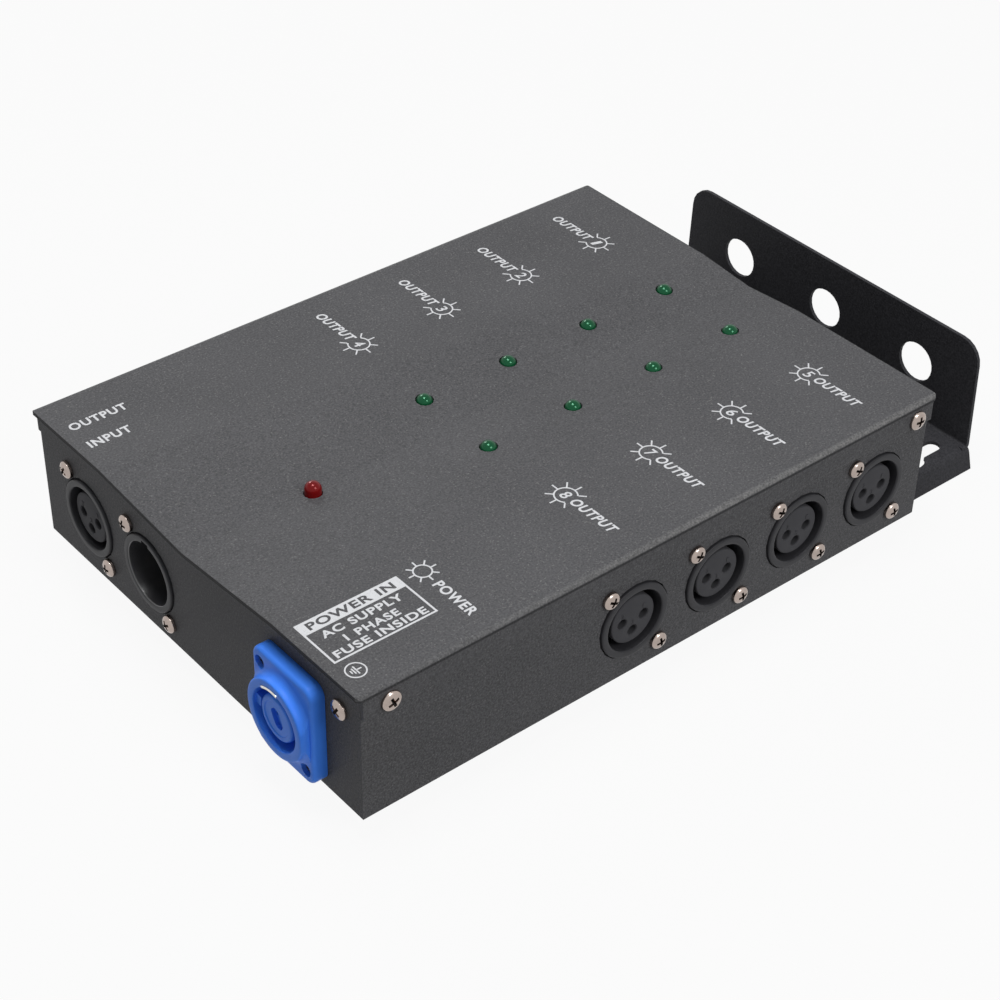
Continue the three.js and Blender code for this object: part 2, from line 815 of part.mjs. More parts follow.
function makeMainBoard() {
  const board = block(...mainBoardEnds, -mainBoardHalf, mainBoardHalf, mainBoardZ, mainBoardZ + boardThick);
  const top = mainBoardZ + boardThick;
  const chips = outputSpots.map((spot) => {
    const x0 = spot.x + lampColumnShift - driverChip.long / 2;
    const middle = (spot.rowSign * (lampRowHalf - lampRim)) / 2 + lampRowShift;
    const half = driverChip.wide / 2;
    const chipTop = top + driverChip.tall;
    return block(x0, x0 + driverChip.long, middle - half, middle + half, top - seatGap, chipTop);
  });
  return cutAll(joinAll([board, ...chips]), boardHoles(mainBoardCorners, mainBoardZ));
}

// The cartridge fuse lies across the power board in two clips
const fuseZ = powerBoardZ + boardThick + fuseRise + fuseRadius;
const fuseX = powerBoardStart + spacerInset + spacerRadius + fuseRadius + clipWall + stackGap;

function makePowerBoard() {
  const top = powerBoardZ + boardThick;
  const pieces = [
    block(powerBoardStart, powerBoardEnd, -powerBoardHalf, powerBoardHalf, powerBoardZ, top),
  ];
  const coreEnd = powerBoardEnd - spacerInset - spacerRadius - stackGap;
  const coreStart = coreEnd - transformer.long;
  const halfWide = transformer.wide / 2;
  pieces.push(block(coreStart, coreEnd, -halfWide, halfWide, top - seatGap, top + transformer.tall));
  const canX = coreStart - stackGap - capacitor.radius;
  const can = rod(capacitor.radius, -seatGap, capacitor.tall, screwSides);
  pieces.push(can.translate(canX, capacitor.radius + stackGap, top));
  pieces.push(can.translate(canX, -capacitor.radius - stackGap, top));
  const inner = fuseRadius + seatGap;
  const outer = inner + clipWall;
  for (const side of [-1, 1]) {
    const middle = (side * (fuseLength - fuseCap)) / 2;
    const half = clipLength / 2;
    const clip = block(fuseX - outer, fuseX + outer, middle - half, middle + half, top - seatGap, fuseZ);
    const slot = rod(inner, middle - clipLength, middle + clipLength, screwSides).rotate([-90, 0, 0]);
    pieces.push(clip.subtract(slot.translate(fuseX, 0, fuseZ)));
  }
  return cutAll(joinAll(pieces), boardHoles(powerBoardCorners, powerBoardZ));
}

function makeFuse() {
  const half = fuseLength / 2;
  const capEdge = half - fuseCap;
  const neck = fuseRadius - seatGap;
  const body = turned(
    [
      [0, -half],
      [fuseRadius, -half],
      [fuseRadius, -capEdge],
      [neck, -capEdge],
      [neck, capEdge],
      [fuseRadius, capEdge],
      [fuseRadius, half],
      [0, half],
    ],
    screwSides,
  );
  return body.rotate([90, 0, 0]).translate(fuseX, 0, fuseZ);
}

function makeFoot() {
  return turned([[0, -footHeight], [footBottom, -footHeight], [footTop, 0], [0, 0]], footSides);
}

// The finished part: one named mesh for each piece, laid out from the middle of the tray's underside
const assembly = new THREE.Group();

function place(name, made, material) {
  const built = made.getMesh();
  const geometry = new THREE.BufferGeometry();
  geometry.setAttribute("position", new THREE.BufferAttribute(built.vertProperties, built.numProp));
  geometry.setIndex(new THREE.BufferAttribute(built.triVerts, 1));
  geometry.computeVertexNormals();
  const mesh = new THREE.Mesh(geometry, material);
  mesh.name = name;
  assembly.add(mesh);
}

place("base_tray", makeTray(), paint);
place("lid", makeLid(), paint);
place("mounting_bracket", makeBracket(), blackPaint);

for (const spot of outputSpots) {
  const shell = onPanel(makeSocketShell(false), spot.panel, spot.along, socketHeight);
  place(`output_${spot.number}_shell`, shell, blackPlastic);
  const insert = onPanel(makeInsert(), spot.panel, spot.along, socketHeight);
  place(`output_${spot.number}_insert`, insert, insertPlastic);
}
const linkShell = onPanel(makeSocketShell(false), linkSpot.panel, linkSpot.along, socketHeight);
place("link_shell", linkShell, blackPlastic);
place("link_insert", onPanel(makeInsert(), linkSpot.panel, linkSpot.along, socketHeight), insertPlastic);
const inputShell = onPanel(makeSocketShell(true), inputSpot.panel, inputSpot.along, socketHeight);
place("input_shell", inputShell, blackPlastic);
const pinBlock = onPanel(makePinBlock(), inputSpot.panel, inputSpot.along, socketHeight);
place("input_pin_block", pinBlock, insertPlastic);

const inletPieces = [
  ["power_inlet_body", makeInletBody(), bluePlastic],
  ["power_inlet_core", makeInletCore(), bluePlastic],
  ["power_inlet_latch", latchPlate(0, inletCollarStand + latchStand), brightSteel],
];
for (const [name, made, material] of inletPieces) {
  place(name, onPanel(made, inletSpot.panel, inletSpot.along, socketHeight), material);
}
[-1, 1].forEach((side, index) => {
  const screw = makeScrew(inletScrew).translate(
    side * flangeScrewAcross,
    -side * flangeScrewUp,
    inletThick - counterboreDepth,
  );
  const seated = onPanel(screw, inletSpot.panel, inletSpot.along, socketHeight);
  place(`power_inlet_screw_${index + 1}`, seated, brightSteel);
});

for (const spot of lampSpots) {
  place(spot.name, makeLamp(spot), spot.material);
}

lidScrewSpots.forEach((spot, index) => {
  const screw = makeScrew(caseScrew).translate(0, 0, sheet + seatGap);
  place(`lid_screw_${index + 1}`, onPanel(screw, spot.panel, spot.along, spot.height), brightSteel);
});
const earthScrew = onPanel(makeScrew(caseScrew), earthSpot.panel, earthSpot.along, earthSpot.height);
place("earth_screw", earthScrew, brightSteel);
bracketScrewSpots.forEach((spot, index) => {
  const screw = makeScrew(bracketScrew).rotate([180, 0, 0]).translate(spot.x, spot.y, -bracketThick);
  place(`bracket_screw_${index + 1}`, screw, brightSteel);
});

let footNumber = 0;
for (const x of [-1, 1]) {
  for (const y of [-1, 1]) {
    footNumber += 1;
    const foot = makeFoot().translate(x * (halfLength - footFromEnd), y * (halfWidth - footFromSide), 0);
    place(`foot_${footNumber}`, foot, rubber);
  }
}

place("main_board", makeMainBoard(), boardGreen);
place("power_board", makePowerBoard(), boardGreen);
place("fuse", makeFuse(), glass);
mainBoardCorners.forEach(([x, y], index) => {
  place(`main_board_spacer_${index + 1}`, makeSpacer(sheet, mainBoardZ - sheet, x, y), brass);
});
powerBoardCorners.forEach(([x, y], index) => {
  place(`power_board_spacer_${index + 1}`, makeSpacer(sheet, powerBoardRise, x, y), brass);
});

// The whole part is moved so that its feet stand on z = 0 and its middle is over the origin
const box = new THREE.Box3().setFromObject(assembly, true);
const middle = box.getCenter(new THREE.Vector3());
assembly.position.set(-middle.x, -middle.y, -box.min.z);
const splitter = new THREE.Group();
splitter.add(assembly);

export default splitter;
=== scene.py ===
"""Looks for a splitter of stage lighting control lines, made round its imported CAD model.

Sizes are in metres with +Z up. Each operator dresses one piece or one group of like pieces.
"""

import math
from functools import partial

import bmesh
import bpy
from bpy.props import FloatProperty, FloatVectorProperty, PointerProperty
from bpy.types import Operator, Panel, PropertyGroup
from mathutils import Matrix, Vector


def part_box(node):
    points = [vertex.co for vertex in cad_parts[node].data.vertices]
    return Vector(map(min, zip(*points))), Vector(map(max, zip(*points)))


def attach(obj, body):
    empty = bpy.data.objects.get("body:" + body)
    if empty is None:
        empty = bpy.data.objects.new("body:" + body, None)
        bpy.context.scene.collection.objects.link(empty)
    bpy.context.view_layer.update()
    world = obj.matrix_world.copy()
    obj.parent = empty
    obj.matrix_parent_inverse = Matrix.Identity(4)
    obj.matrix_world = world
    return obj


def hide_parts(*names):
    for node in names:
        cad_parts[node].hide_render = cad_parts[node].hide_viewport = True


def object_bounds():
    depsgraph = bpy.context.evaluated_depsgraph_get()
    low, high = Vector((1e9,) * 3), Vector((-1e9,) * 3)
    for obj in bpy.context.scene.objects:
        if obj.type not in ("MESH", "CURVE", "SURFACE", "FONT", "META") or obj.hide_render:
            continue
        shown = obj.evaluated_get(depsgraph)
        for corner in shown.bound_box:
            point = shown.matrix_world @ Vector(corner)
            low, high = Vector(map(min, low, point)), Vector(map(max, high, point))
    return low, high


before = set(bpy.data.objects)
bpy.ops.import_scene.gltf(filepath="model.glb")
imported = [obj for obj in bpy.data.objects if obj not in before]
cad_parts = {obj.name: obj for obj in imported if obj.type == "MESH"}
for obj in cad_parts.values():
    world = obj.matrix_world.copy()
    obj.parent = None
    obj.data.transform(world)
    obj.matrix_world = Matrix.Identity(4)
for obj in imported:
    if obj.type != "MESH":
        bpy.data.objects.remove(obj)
CAD_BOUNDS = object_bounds()

bl_info = {
    "name": "Line splitter looks",
    "version": (1, 0, 0),
    "blender": (4, 5, 0),
    "location": "View3D > Sidebar > Splitter",
    "description": "Finishes, fine pieces, lid print and studio for a stage lighting line splitter",
    "category": "Object",
}

MM = 0.001
BODY = "root"
SMOOTH_ANGLE = math.radians(32)
QUARTER = math.pi / 2
OUTPUTS = range(1, 9)
NEAR_OUTPUTS = range(5, 9)

# Clearances, and the reach of the painted highlight and painted shade along the lid's bends
FIT = 0.3 * MM
GAP = 0.1 * MM
LATCH_MARGIN = 0.15 * MM
INLET_TAIL = 6 * MM
MARK_REACH = 4 * MM

# Turns about Z that face each panel
TURNS = {"near": 0.0, "front": -QUARTER, "far": math.pi}

# Case screws and the panels that they go into
CASE_SCREWS = {
    "lid_screw_1": "near",
    "lid_screw_2": "far",
    "lid_screw_3": "near",
    "lid_screw_4": "far",
    "earth_screw": "front",
}

# The lid's print, in metres from the case's middle: words with their lengths and places
LINE_WORDS = [("OUTPUT", 0.0186, -0.0924, 0.063), ("INPUT", 0.0137, -0.0948, 0.0528)]
POWER_SIGN_AT = (-0.0625, -0.0489)
POWER_WORD = ("POWER", 0.0157, -0.0625, -0.0627)
SUPPLY_FRAME = (-0.102, -0.0692, -0.064, -0.0462)
SUPPLY_LINE, SUPPLY_BAR = 0.0006, 0.0048
SUPPLY_TITLE = ("POWER IN", 0.0275, 0.003)
SUPPLY_ROWS = [("AC SUPPLY", 0.0255, -0.0534), ("1 PHASE", 0.017, -0.0577), ("FUSE INSIDE", 0.029, -0.0615)]
EARTH_SIGN_AT = (-0.0992, -0.0691)
EARTH_BARS = [(0.0001, 0.0016), (-0.00065, 0.0011), (-0.0014, 0.0006)]
EARTH_LINES = [[(0.0002, 0), (0.0017, 0)]] + [[(x, -half), (x, half)] for x, half in EARTH_BARS]

# Each light's place and size, in metres
LIGHTS = {
    "key": ((-0.1, -0.03, 0.75), 0.28),
    "rim": ((0.15, 1.2, 0.85), 0.4),
    "fill": ((0.1, -1.15, 0.95), 0.5),
}
FLOOR_RADIUS = 4


# Properties: each helper leaves the label to the group, which takes it from the field's name


def length(description, millimetres):
    default = millimetres * MM
    return partial(FloatProperty, description=description, default=default, unit="LENGTH", precision=5)


def vector(description, subtype, *default, **limits):
    return partial(FloatVectorProperty, description=description, default=default, subtype=subtype, **limits)


def lengths(description, *millimetres):
    """Several lengths in one field, in the order that its description names them."""
    default = [value * MM for value in millimetres]
    return vector(description, "NONE", *default, size=len(default), unit="LENGTH", precision=5)


def angle(description, degrees):
    return partial(FloatProperty, description=description, default=math.radians(degrees), subtype="ANGLE")


def amount(description, default, subtype="NONE"):
    return partial(FloatProperty, description=description, default=default, min=0.0, subtype=subtype)


def linear(level):
    share = level / 255
    return share / 12.92 if share <= 0.04045 else ((share + 0.055) / 1.055) ** 2.4


def tint(description, *levels):
    """A colour from its red, green and blue on screen, each up to 255."""
    return vector(description, "COLOR", *map(linear, levels), min=0, max=1)


GROUPS = {}


def labelled(group):
    """Makes a group's fields, labelled with their names in words, and lists it by its scene property."""
    fields = group.__annotations__
    for field, make in fields.items():
        fields[field] = make(name=field.replace("_", " ").capitalize())
    GROUPS[group.__name__.replace("Splitter", "splitter_").lower()] = group
    return group


@labelled
class SplitterCase(PropertyGroup):
    paint: tint("Powder coat of tray and lid", 80, 80, 82)
    paint_speck: tint("Light grains in the case paint", 150, 149, 147)
    bracket: tint("Dull dark coat of the hanging bracket", 53, 53, 56)
    grain: length("Size of the grain in the powder coat", 0.6)
    foot_round: length("Rounding of the rubber feet", 0.8)


@labelled
class SplitterSocket(PropertyGroup):
    plastic: tint("Black plastic of the socket shells", 50, 50, 53)
    insert_plastic: tint("Dark plastic of the contact inserts", 70, 70, 73)
    ring: lengths("Ring: outer radius, edge rounding", 12.05, 0.5)
    bore: length("Radius of the bore that takes the plug", 9.8)
    flange: lengths("Flange: depth below the panel, thickness, corner radius", 1.3, 2, 3)
    barrel: lengths("Barrel: radius, radius of its opening for the tags", 11.6, 6)
    back_wall: length("Thickness of the shell's back wall", 2)
    cup: lengths("Input's cup: radius below its ledge, ledge depth", 9.4, 3.3)
    notch: lengths("Input's key notch: width, depth", 3.2, 3)
    insert: lengths("Insert: radius, height of its wide foot", 7.8, 3.9)
    contact_circle: length("Contacts' distance from the middle", 3.9)
    contact: lengths("Contact: hole radius, hole depth, depth of its sleeve", 1.6, 8, 4)
    number: lengths("Raised number: height, relief, distance from its contact", 1.5, 0.12, 2.9)
    pin: lengths("Pin: radius, height of the block that holds it", 1.2, 2)
    pin_sink: length("How far the pins end behind the ring's face", 8)
    tag: lengths("Solder tag: width, thickness", 1.6, 0.8)


@labelled
class SplitterInlet(PropertyGroup):
    plastic: tint("Blue plastic of the mains inlet", 66, 132, 246)
    flange: lengths("Flange: thickness, corner radius, edge rounding", 4.5, 3.5, 1.2)
    edge_round: length("Rounding of the other moulded edges", 0.6)
    collar: lengths("Collar: outer radius, radius of its foot on the flange", 12.1, 14.6)
    bore: lengths("Bore: radius, depth below the panel", 9.4, 16)
    barrel: length("Radius of the barrel behind the panel", 11.3)
    core: lengths("Keyed core: radius, height of its wide foot", 7, 3.6)
    core_face: lengths("Core's face: edge rounding, rim width, depth inside the rim", 0.9, 1.6, 0.25)
    keyway: lengths("Keyway: length, width, corner radius, depth", 6.4, 3.6, 1.7, 1.4)
    wells: lengths("Two wells in the keyway: web beside them, depth", 0.35, 6)
    key_tilt: angle("Turn of the keyway from upright", 27)
    lug: lengths("Lug beside the core: width, distance behind the collar", 3.4, 1.1)
    lug_at: angle("Where the lug stands, from the right", 174)
    latch: lengths("Latch plate: thickness, outer radius", 0.8, 10.1)
    latch_from: angle("Where the latch plate starts, from the right", 78)
    latch_to: angle("Where the latch plate ends, from the right", 120)
    screw: lengths("Screw: distance sideways and upwards, hole radius", 9.5, 12, 1.7)
    recess: lengths("Screw recess: radius, depth", 2.05, 1.9)


@labelled
class SplitterScrews(PropertyGroup):
    nickel: tint("Plating of the screws", 182, 168, 160)
    # The recess colour is near-black painted shade inside the screws' cross recesses
    recess: tint("Dark steel inside the recesses", 34, 31, 30)
    flange: lengths("Socket screw: head radius, head height, length", 2.7, 2.1, 6)
    case: lengths("Lid screw: head radius, head height, length", 3, 1.7, 6)
    bracket: lengths("Bracket screw: head radius, head height, length", 3.8, 2.4, 6)
    inlet: lengths("Inlet screw: head radius, head height, length", 1.9, 1.1, 8)


@labelled
class SplitterLamps(PropertyGroup):
    green: tint("Tinted resin of the output lamps", 8, 74, 42)
    red: tint("Tinted resin of the power lamp", 112, 9, 11)
    dome: lengths("Lamp: radius, height without its leads", 2.5, 8.6)
    rim: lengths("Rim: radius, thickness", 2.9, 1)
    lead: lengths("Leads: width, distance apart", 0.5, 2.54)


@labelled
class SplitterPrint(PropertyGroup):
    ink: tint("White ink of the lid's print", 208, 209, 212)
    thick: length("How far the ink stands above the paint", 0.04)
    weight: amount("Extra boldness of the letters", 0.028)
    line: length("Width of a printed line", 0.45)
    output_sign: lengths("Output's sign: radius of its circle, radius of its rays", 3.3, 5.8)
    power_sign: lengths("Power sign: radius of its circle, radius of its rays", 2.55, 4.5)
    sign_row: length("Distance of the output signs from the middle", 47.3)
    digit_tall: length("Height of an output's number", 3.5)
    word_tall: length("Height of the printed words", 3.4)
    output_word: lengths("Word of an output: length, distance from its sign's middle", 17.3, 3)
    earth_circle: length("Radius of the circle round the earth sign", 2.75)
    row_tall: length("Height of the supply panel's letters", 2.8)


@labelled
class SplitterStage(PropertyGroup):
    camera_place: vector("Where the camera stands", "TRANSLATION", -0.35695, -0.40786, 0.42437)
    camera_turn: vector("Camera's turn", "EULER", *map(math.radians, (52.448, -0.992, -39.521)))
    lens: amount("Focal length in millimetres", 80.815)
    floor_colour: tint("Colour of the studio floor", 180, 180, 180)
    floor_glow: amount("Share of plain white in the seen floor", 0.93)
    key_power: amount("Power of the light above", 3.4, "POWER")
    fill_power: amount("Power of the light in front", 8.7, "POWER")
    rim_power: amount("Power of the light behind", 4.8, "POWER")
    air: amount("Strength of the even light all round", 0.185)


# Shader nodes


class Value:
    """An output of a shader node. Arithmetic on it adds Math nodes."""

    def __init__(self, work, socket):
        self.work = work
        self.socket = socket

    def __add__(self, other):
        return self.work.math("ADD", self, other)

    def __sub__(self, other):
        return self.work.math("SUBTRACT", self, other)

    def __rsub__(self, other):
        return self.work.math("SUBTRACT", other, self)

    def __mul__(self, other):
        return self.work.math("MULTIPLY", self, other)

    __radd__ = __add__


class NodeWork:
    """A node tree with one method that makes any node in it."""

    def __init__(self, tree):
        self.tree = tree
        self.tree.nodes.clear()

    def node(self, kind, values=None, output=0, **settings):
        """Adds a node: settings first, then what its sockets take: constants or Values."""
        made = self.tree.nodes.new("ShaderNode" + kind)
        for name, value in settings.items():
            setattr(made, name, value)
        for name, value in (values or {}).items():
            socket = made.inputs[name]
            if isinstance(value, Value):
                self.tree.links.new(value.socket, socket)
            elif socket.type == "RGBA" and len(value) == 3:
                socket.default_value = (*value, 1)
            else:
                socket.default_value = value
        return Value(self, made.outputs[output]) if made.outputs else made

    def math(self, operation, *values):
        return self.node("Math", dict(enumerate(values)), operation=operation)

    def point(self):
        return self.node("TexCoord", output="Object")

    def axis(self, index):
        """One coordinate of the point: 0, 1 or 2 for X, Y or Z."""
        return self.node("SeparateXYZ", {0: self.point()}, index)

    def noise(self, size, detail=2.0):
        """Noise about as large as size, in metres, centred on one half."""
        values = {"Vector": self.point(), "Scale": 1 / size, "Detail": detail}
        return self.node("TexNoise", values)

    def ramp(self, value, *stops):
        """Greys from pairs of position and level."""
        ramp = self.node("ValToRGB", {"Fac": value})
        elements = ramp.socket.node.color_ramp.elements
        for index, (position, level) in enumerate(stops):
            stop = elements[index] if index < 2 else elements.new(position)
            stop.position = position
            stop.color = (level, level, level, 1)
        return ramp

    def mix(self, share, first, second):
        """A colour between two others."""
        return self.node("Mix", {0: share, 6: first, 7: second}, 2, data_type="RGBA")


class Finish(NodeWork):
    """A material with one Principled shader, whose named sockets take constants or Values."""

    def __init__(self, name):
        self.material = bpy.data.materials.new(name)
        self.material.use_nodes = True
        super().__init__(self.material.node_tree)

    def shade(self, colour, roughness, relief=None, depth=0.0, **values):
        """Ends the material. Relief is a height, raised by depth in millimetres.

        The names of further sockets have low lines in place of spaces.
        """
        values = {name.replace("_", " "): value for name, value in values.items()}
        if relief:
            bump = {"Height": relief, "Distance": depth * MM, "Strength": 1.0}
            values["Normal"] = self.node("Bump", bump)
        values |= {"Base Color": colour, "Roughness": roughness}
        shader = self.node("BsdfPrincipled", values)
        self.node("OutputMaterial", {"Surface": shader})
        return self.material


def lit(colour, share):
    """A colour with its levels raised or lowered to a share."""
    return tuple(min(1, level * share) for level in colour)


def powder_coat(name, paint, speck, grain, speck_share, contrast, is_lid=False):
    """Fine textured powder coat: a pebbled grain with light specks and slow cloudy changes."""
    coat = Finish(name)
    pebbles = coat.ramp(coat.noise(grain, 3), (0.3, 0), (0.7, 1))
    specks = coat.ramp(coat.noise(grain * 0.8, 1), (0.62, 0), (0.74, 1))
    tone = pebbles * 0.8 + coat.noise(60 * grain, 3) * 0.4 - 0.1
    ground = coat.mix(tone, lit(paint, 1 - contrast), lit(paint, 1 + contrast))
    colour = coat.mix(specks * speck_share, ground, speck)
    # The lid also gets painted highlight and painted shade along its long edges, and painted shade on its
    # end faces
    if is_lid:
        colour = fold_marks(coat, colour, paint, speck, pebbles)
    relief = pebbles + specks * 0.8
    return coat.shade(colour, 0.46 + pebbles * 0.16, relief, 0.03, Specular_IOR_Level=0.07)


def fold_marks(coat, colour, paint, speck, pebbles):
    """The lid's painted light: along each long edge a painted highlight over a band of painted shade, and
    painted shade on its end faces.
    """
    corners = [Vector(corner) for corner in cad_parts["lid"].bound_box]
    middle = (corners[0] + corners[6]) / 2
    half = (corners[6] - corners[0]) / 2
    along, across, height = [coat.axis(index) - middle[index] for index in range(3)]
    # Painted shade: the lid's end faces turn near-black, standing in for the dark line under its lip
    ends = coat.ramp(along * along * (1 / half.x**2), (0.9972, 0), (0.9982, 1))
    sides = coat.ramp(across * across * (1 / half.y**2), (0.955, 0), (0.965, 1))
    depth = (half.z - height) * (1 / MARK_REACH)
    # Painted highlight: a lighter band along the upper part of each long bend
    painted_sheen = coat.ramp(depth, (0.0, 0.45), (0.08, 1), (0.2, 1), (0.26, 0))
    # Painted shade: a dark band just below the painted highlight on each bend
    shaded = coat.ramp(depth, (0.26, 0), (0.3, 1), (0.42, 1), (0.5, 0))
    # Painted highlight: a faint lighter line along the lower edge of each skirt
    hem = coat.ramp((height + half.z) * (1 / MARK_REACH), (0.04, 1), (0.12, 0))
    # The painted highlight fades towards the lid's low-X end
    run = coat.ramp(along * (0.5 / half.x) + 0.5, (0.0, 0.15), (0.6, 1))
    # Near-black colour of the painted shade on the bends and the end faces
    black = lit(paint, 0.15)
    # Painted highlight laid on, towards the light speck colour
    colour = coat.mix((painted_sheen + hem * 0.3) * sides * run * (0.12 + pebbles * 0.3), colour, speck)
    # Painted shade laid on below each bend
    colour = coat.mix(shaded * sides * 0.65, colour, black)
    # Painted shade laid on the end faces
    return coat.mix(ends * 0.9, colour, black)


def moulded(name, colour, roughness, gloss):
    """Moulded plastic with a fine spark-eroded texture and slight colour drift."""
    plastic = Finish(name)
    texture = plastic.noise(0.35 * MM)
    drifting = plastic.mix(plastic.noise(9 * MM), lit(colour, 0.85), lit(colour, 1.15))
    rough = roughness - 0.06 + texture * 0.12
    return plastic.shade(drifting, rough, texture, 0.012, Specular_IOR_Level=gloss)


def plated(name, colour, roughness=0.22):
    """Plated metal with faint tumbling marks and slightly dull patches."""
    metal = Finish(name)
    patches = metal.noise(1.6 * MM, 3)
    patched = metal.mix(patches, lit(colour, 0.72), colour)
    rough = roughness - 0.05 + patches * 0.16
    return metal.shade(patched, rough, metal.noise(0.25 * MM), 0.008, Metallic=1.0)


def tinted_resin(name, colour, shine):
    """Clear tinted resin of an unlit lamp, with painted light: paler low down where its rim catches light.
    """
    resin = Finish(name)
    # Painted light: the colour grows paler towards the foot of the dome
    span = {"From Min": -2.5 * MM, "From Max": 0.0, "To Min": 0.6, "To Max": 0.1}
    depth = resin.node("MapRange", {"Value": resin.axis(2), **span})
    tone = depth + resin.noise(1.2 * MM, 1) * 0.2 - 0.1
    painted_rim_light = resin.mix(tone, lit(colour, 0.6), lit(colour, 1.6))
    return resin.shade(painted_rim_light, 0.04, IOR=1.36, Specular_IOR_Level=0.7, Specular_Tint=shine)


def ink_finish(colour):
    """Screen-printed ink with pin holes and a slightly uneven lay."""
    ink = Finish("lid_ink")
    lay = ink.noise(0.5 * MM, 3)
    holes = ink.ramp(ink.noise(0.22 * MM, 1), (0.3, 1), (0.36, 0))
    worn = ink.mix(holes, ink.mix(lay, lit(colour, 0.86), colour), lit(colour, 0.55))
    return ink.shade(worn, 0.5 + lay * 0.15, lay, 0.02, Specular_IOR_Level=0.3)


def rubber_finish():
    """Black rubber with dust on it."""
    rubber = Finish("foot_rubber")
    skin = rubber.noise(0.6 * MM, 3)
    dust = rubber.ramp(rubber.noise(3 * MM), (0.5, 0), (0.8, 0.5))
    dusty = rubber.mix(dust, (0.016, 0.016, 0.017), (0.06, 0.058, 0.055))
    return rubber.shade(dusty, 0.7 + skin * 0.2, skin, 0.02)


def board_finish():
    """Green solder mask with copper tracks that show through it."""
    board = Finish("board_mask")
    tracks = board.node("TexBrick", {"Vector": board.point(), "Scale": 160.0}, "Fac")
    weave = board.noise(0.9 * MM)
    mask = board.mix(weave, (0.004, 0.06, 0.022), (0.008, 0.1, 0.036))
    tracked = board.mix(tracks * 0.5, mask, (0.05, 0.2, 0.07))
    return board.shade(tracked, 0.3 + weave * 0.15, tracks * 0.5 + weave * 0.2, 0.03)


def fuse_finish():
    """Clear glass between plated caps: the ends of the fuse, along Y, are metal."""
    fuse = Finish("fuse_glass")
    low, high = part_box("fuse")
    from_middle = fuse.math("ABSOLUTE", fuse.axis(1) - (low.y + high.y) / 2)
    cap = fuse.math("GREATER_THAN", from_middle, (high.y - low.y) / 4)
    glass = fuse.mix(cap, (0.72, 0.8, 0.8), (0.6, 0.58, 0.54))
    return fuse.shade(glass, 0.08 + cap * 0.2, Metallic=cap)


# Mesh work


def mesh_from(form):
    mesh = bpy.data.meshes.new("shape")
    form.to_mesh(mesh)
    form.free()
    return mesh


def turned(profile, sides=48, closed=False):
    """A shape turned about Z from pairs of radius and height. A closed profile joins its ends."""
    form = bmesh.new()
    turns = [step * math.tau / sides for step in range(sides)]
    turns = [Vector((math.cos(turn), math.sin(turn))) for turn in turns]
    rings = []
    for radius, height in profile:
        if radius > 0:
            rings.append([form.verts.new((radius * turn.x, radius * turn.y, height)) for turn in turns])
        else:
            rings.append([form.verts.new((0, 0, height))] * sides)
    for low, high in zip(rings, rings[1:] + (rings[:1] if closed else [])):
        add_band(form, low, high)
    return closed_mesh(form)


def add_band(form, low, high):
    """Faces between two rings of corners; one whose corners meet in a point is a triangle."""
    for corners in zip(low, low[1:] + low[:1], high[1:] + high[:1], high):
        corners = dict.fromkeys(corners)
        if len(corners) > 2:
            form.faces.new(corners)


def closed_mesh(form):
    bmesh.ops.recalc_face_normals(form, faces=form.faces)
    return mesh_from(form)


def skinned(rows):
    """A closed shape over rows that all have as many points."""
    form = bmesh.new()
    rows = [[form.verts.new(point) for point in row] for row in rows]
    for row, later in zip(rows, rows[1:]):
        add_band(form, row, later)
    form.faces.new(rows[0])
    form.faces.new(rows[-1])
    return closed_mesh(form)


def arc(centre, radius, start, end, steps=6):
    """Points of an arc, with its angles in degrees."""
    points = []
    for step in range(steps + 1):
        turn = math.radians(start + (end - start) * step / steps)
        points.append((centre[0] + radius * math.cos(turn), centre[1] + radius * math.sin(turn)))
    return points


def stacked(rings):
    """A closed shape from outlines, each with its height, that all have as many points."""
    return skinned([[(x, y, height) for x, y in outline] for outline, height in rings])


def prism(outline, low, high):
    """A straight-sided shape over an outline."""
    return stacked([(outline, low), (outline, high)])


def rectangle(x_low, x_high, y_low, y_high):
    return [(x_low, y_low), (x_high, y_low), (x_high, y_high), (x_low, y_high)]


def bar(half_x, half_y, x=0.0, y=0.0):
    """A rectangle about a spot."""
    return rectangle(x - half_x, x + half_x, y - half_y, y + half_y)


def rounded_rectangle(half_x, half_y, corner):
    points = []
    for start, (side_x, side_y) in zip((0, 90, 180, 270), ((1, 1), (-1, 1), (-1, -1), (1, -1))):
        centre = (side_x * (half_x - corner), side_y * (half_y - corner))
        points += arc(centre, corner, start, start + 90, 8)
    return points


def move_by(x, y, z=0.0):
    return Matrix.Translation((x, y, z))


def turn_by(turn, axis="Z"):
    return Matrix.Rotation(turn, 4, axis)


def moved(mesh, move):
    mesh.transform(move)
    return mesh


def rod(radius, low, high, centre=(0, 0), sides=24):
    profile = [(0, low), (radius, low), (radius, high), (0, high)]
    return moved(turned(profile, sides), move_by(*centre))


def stroke(points, width, thick):
    """A flat line of even width along open points."""
    rows = []
    for index, point in enumerate(points):
        before = Vector(points[max(index - 1, 0)])
        after = Vector(points[min(index + 1, len(points) - 1)])
        along = (after - before).normalized()
        across = Vector((-along.y, along.x)) * width / 2
        left, right = Vector(point) + across, Vector(point) - across
        rows.append([(*left, 0), (*right, 0), (*right, thick), (*left, thick)])
    return skinned(rows)


def new_object(name, data):
    made = bpy.data.objects.new(name, data)
    bpy.context.scene.collection.objects.link(made)
    return made


def taken_from(carrier):
    """The mesh that an object shows. The object goes."""
    seen = carrier.evaluated_get(bpy.context.evaluated_depsgraph_get())
    mesh = bpy.data.meshes.new_from_object(seen)
    bpy.data.objects.remove(carrier)
    return mesh


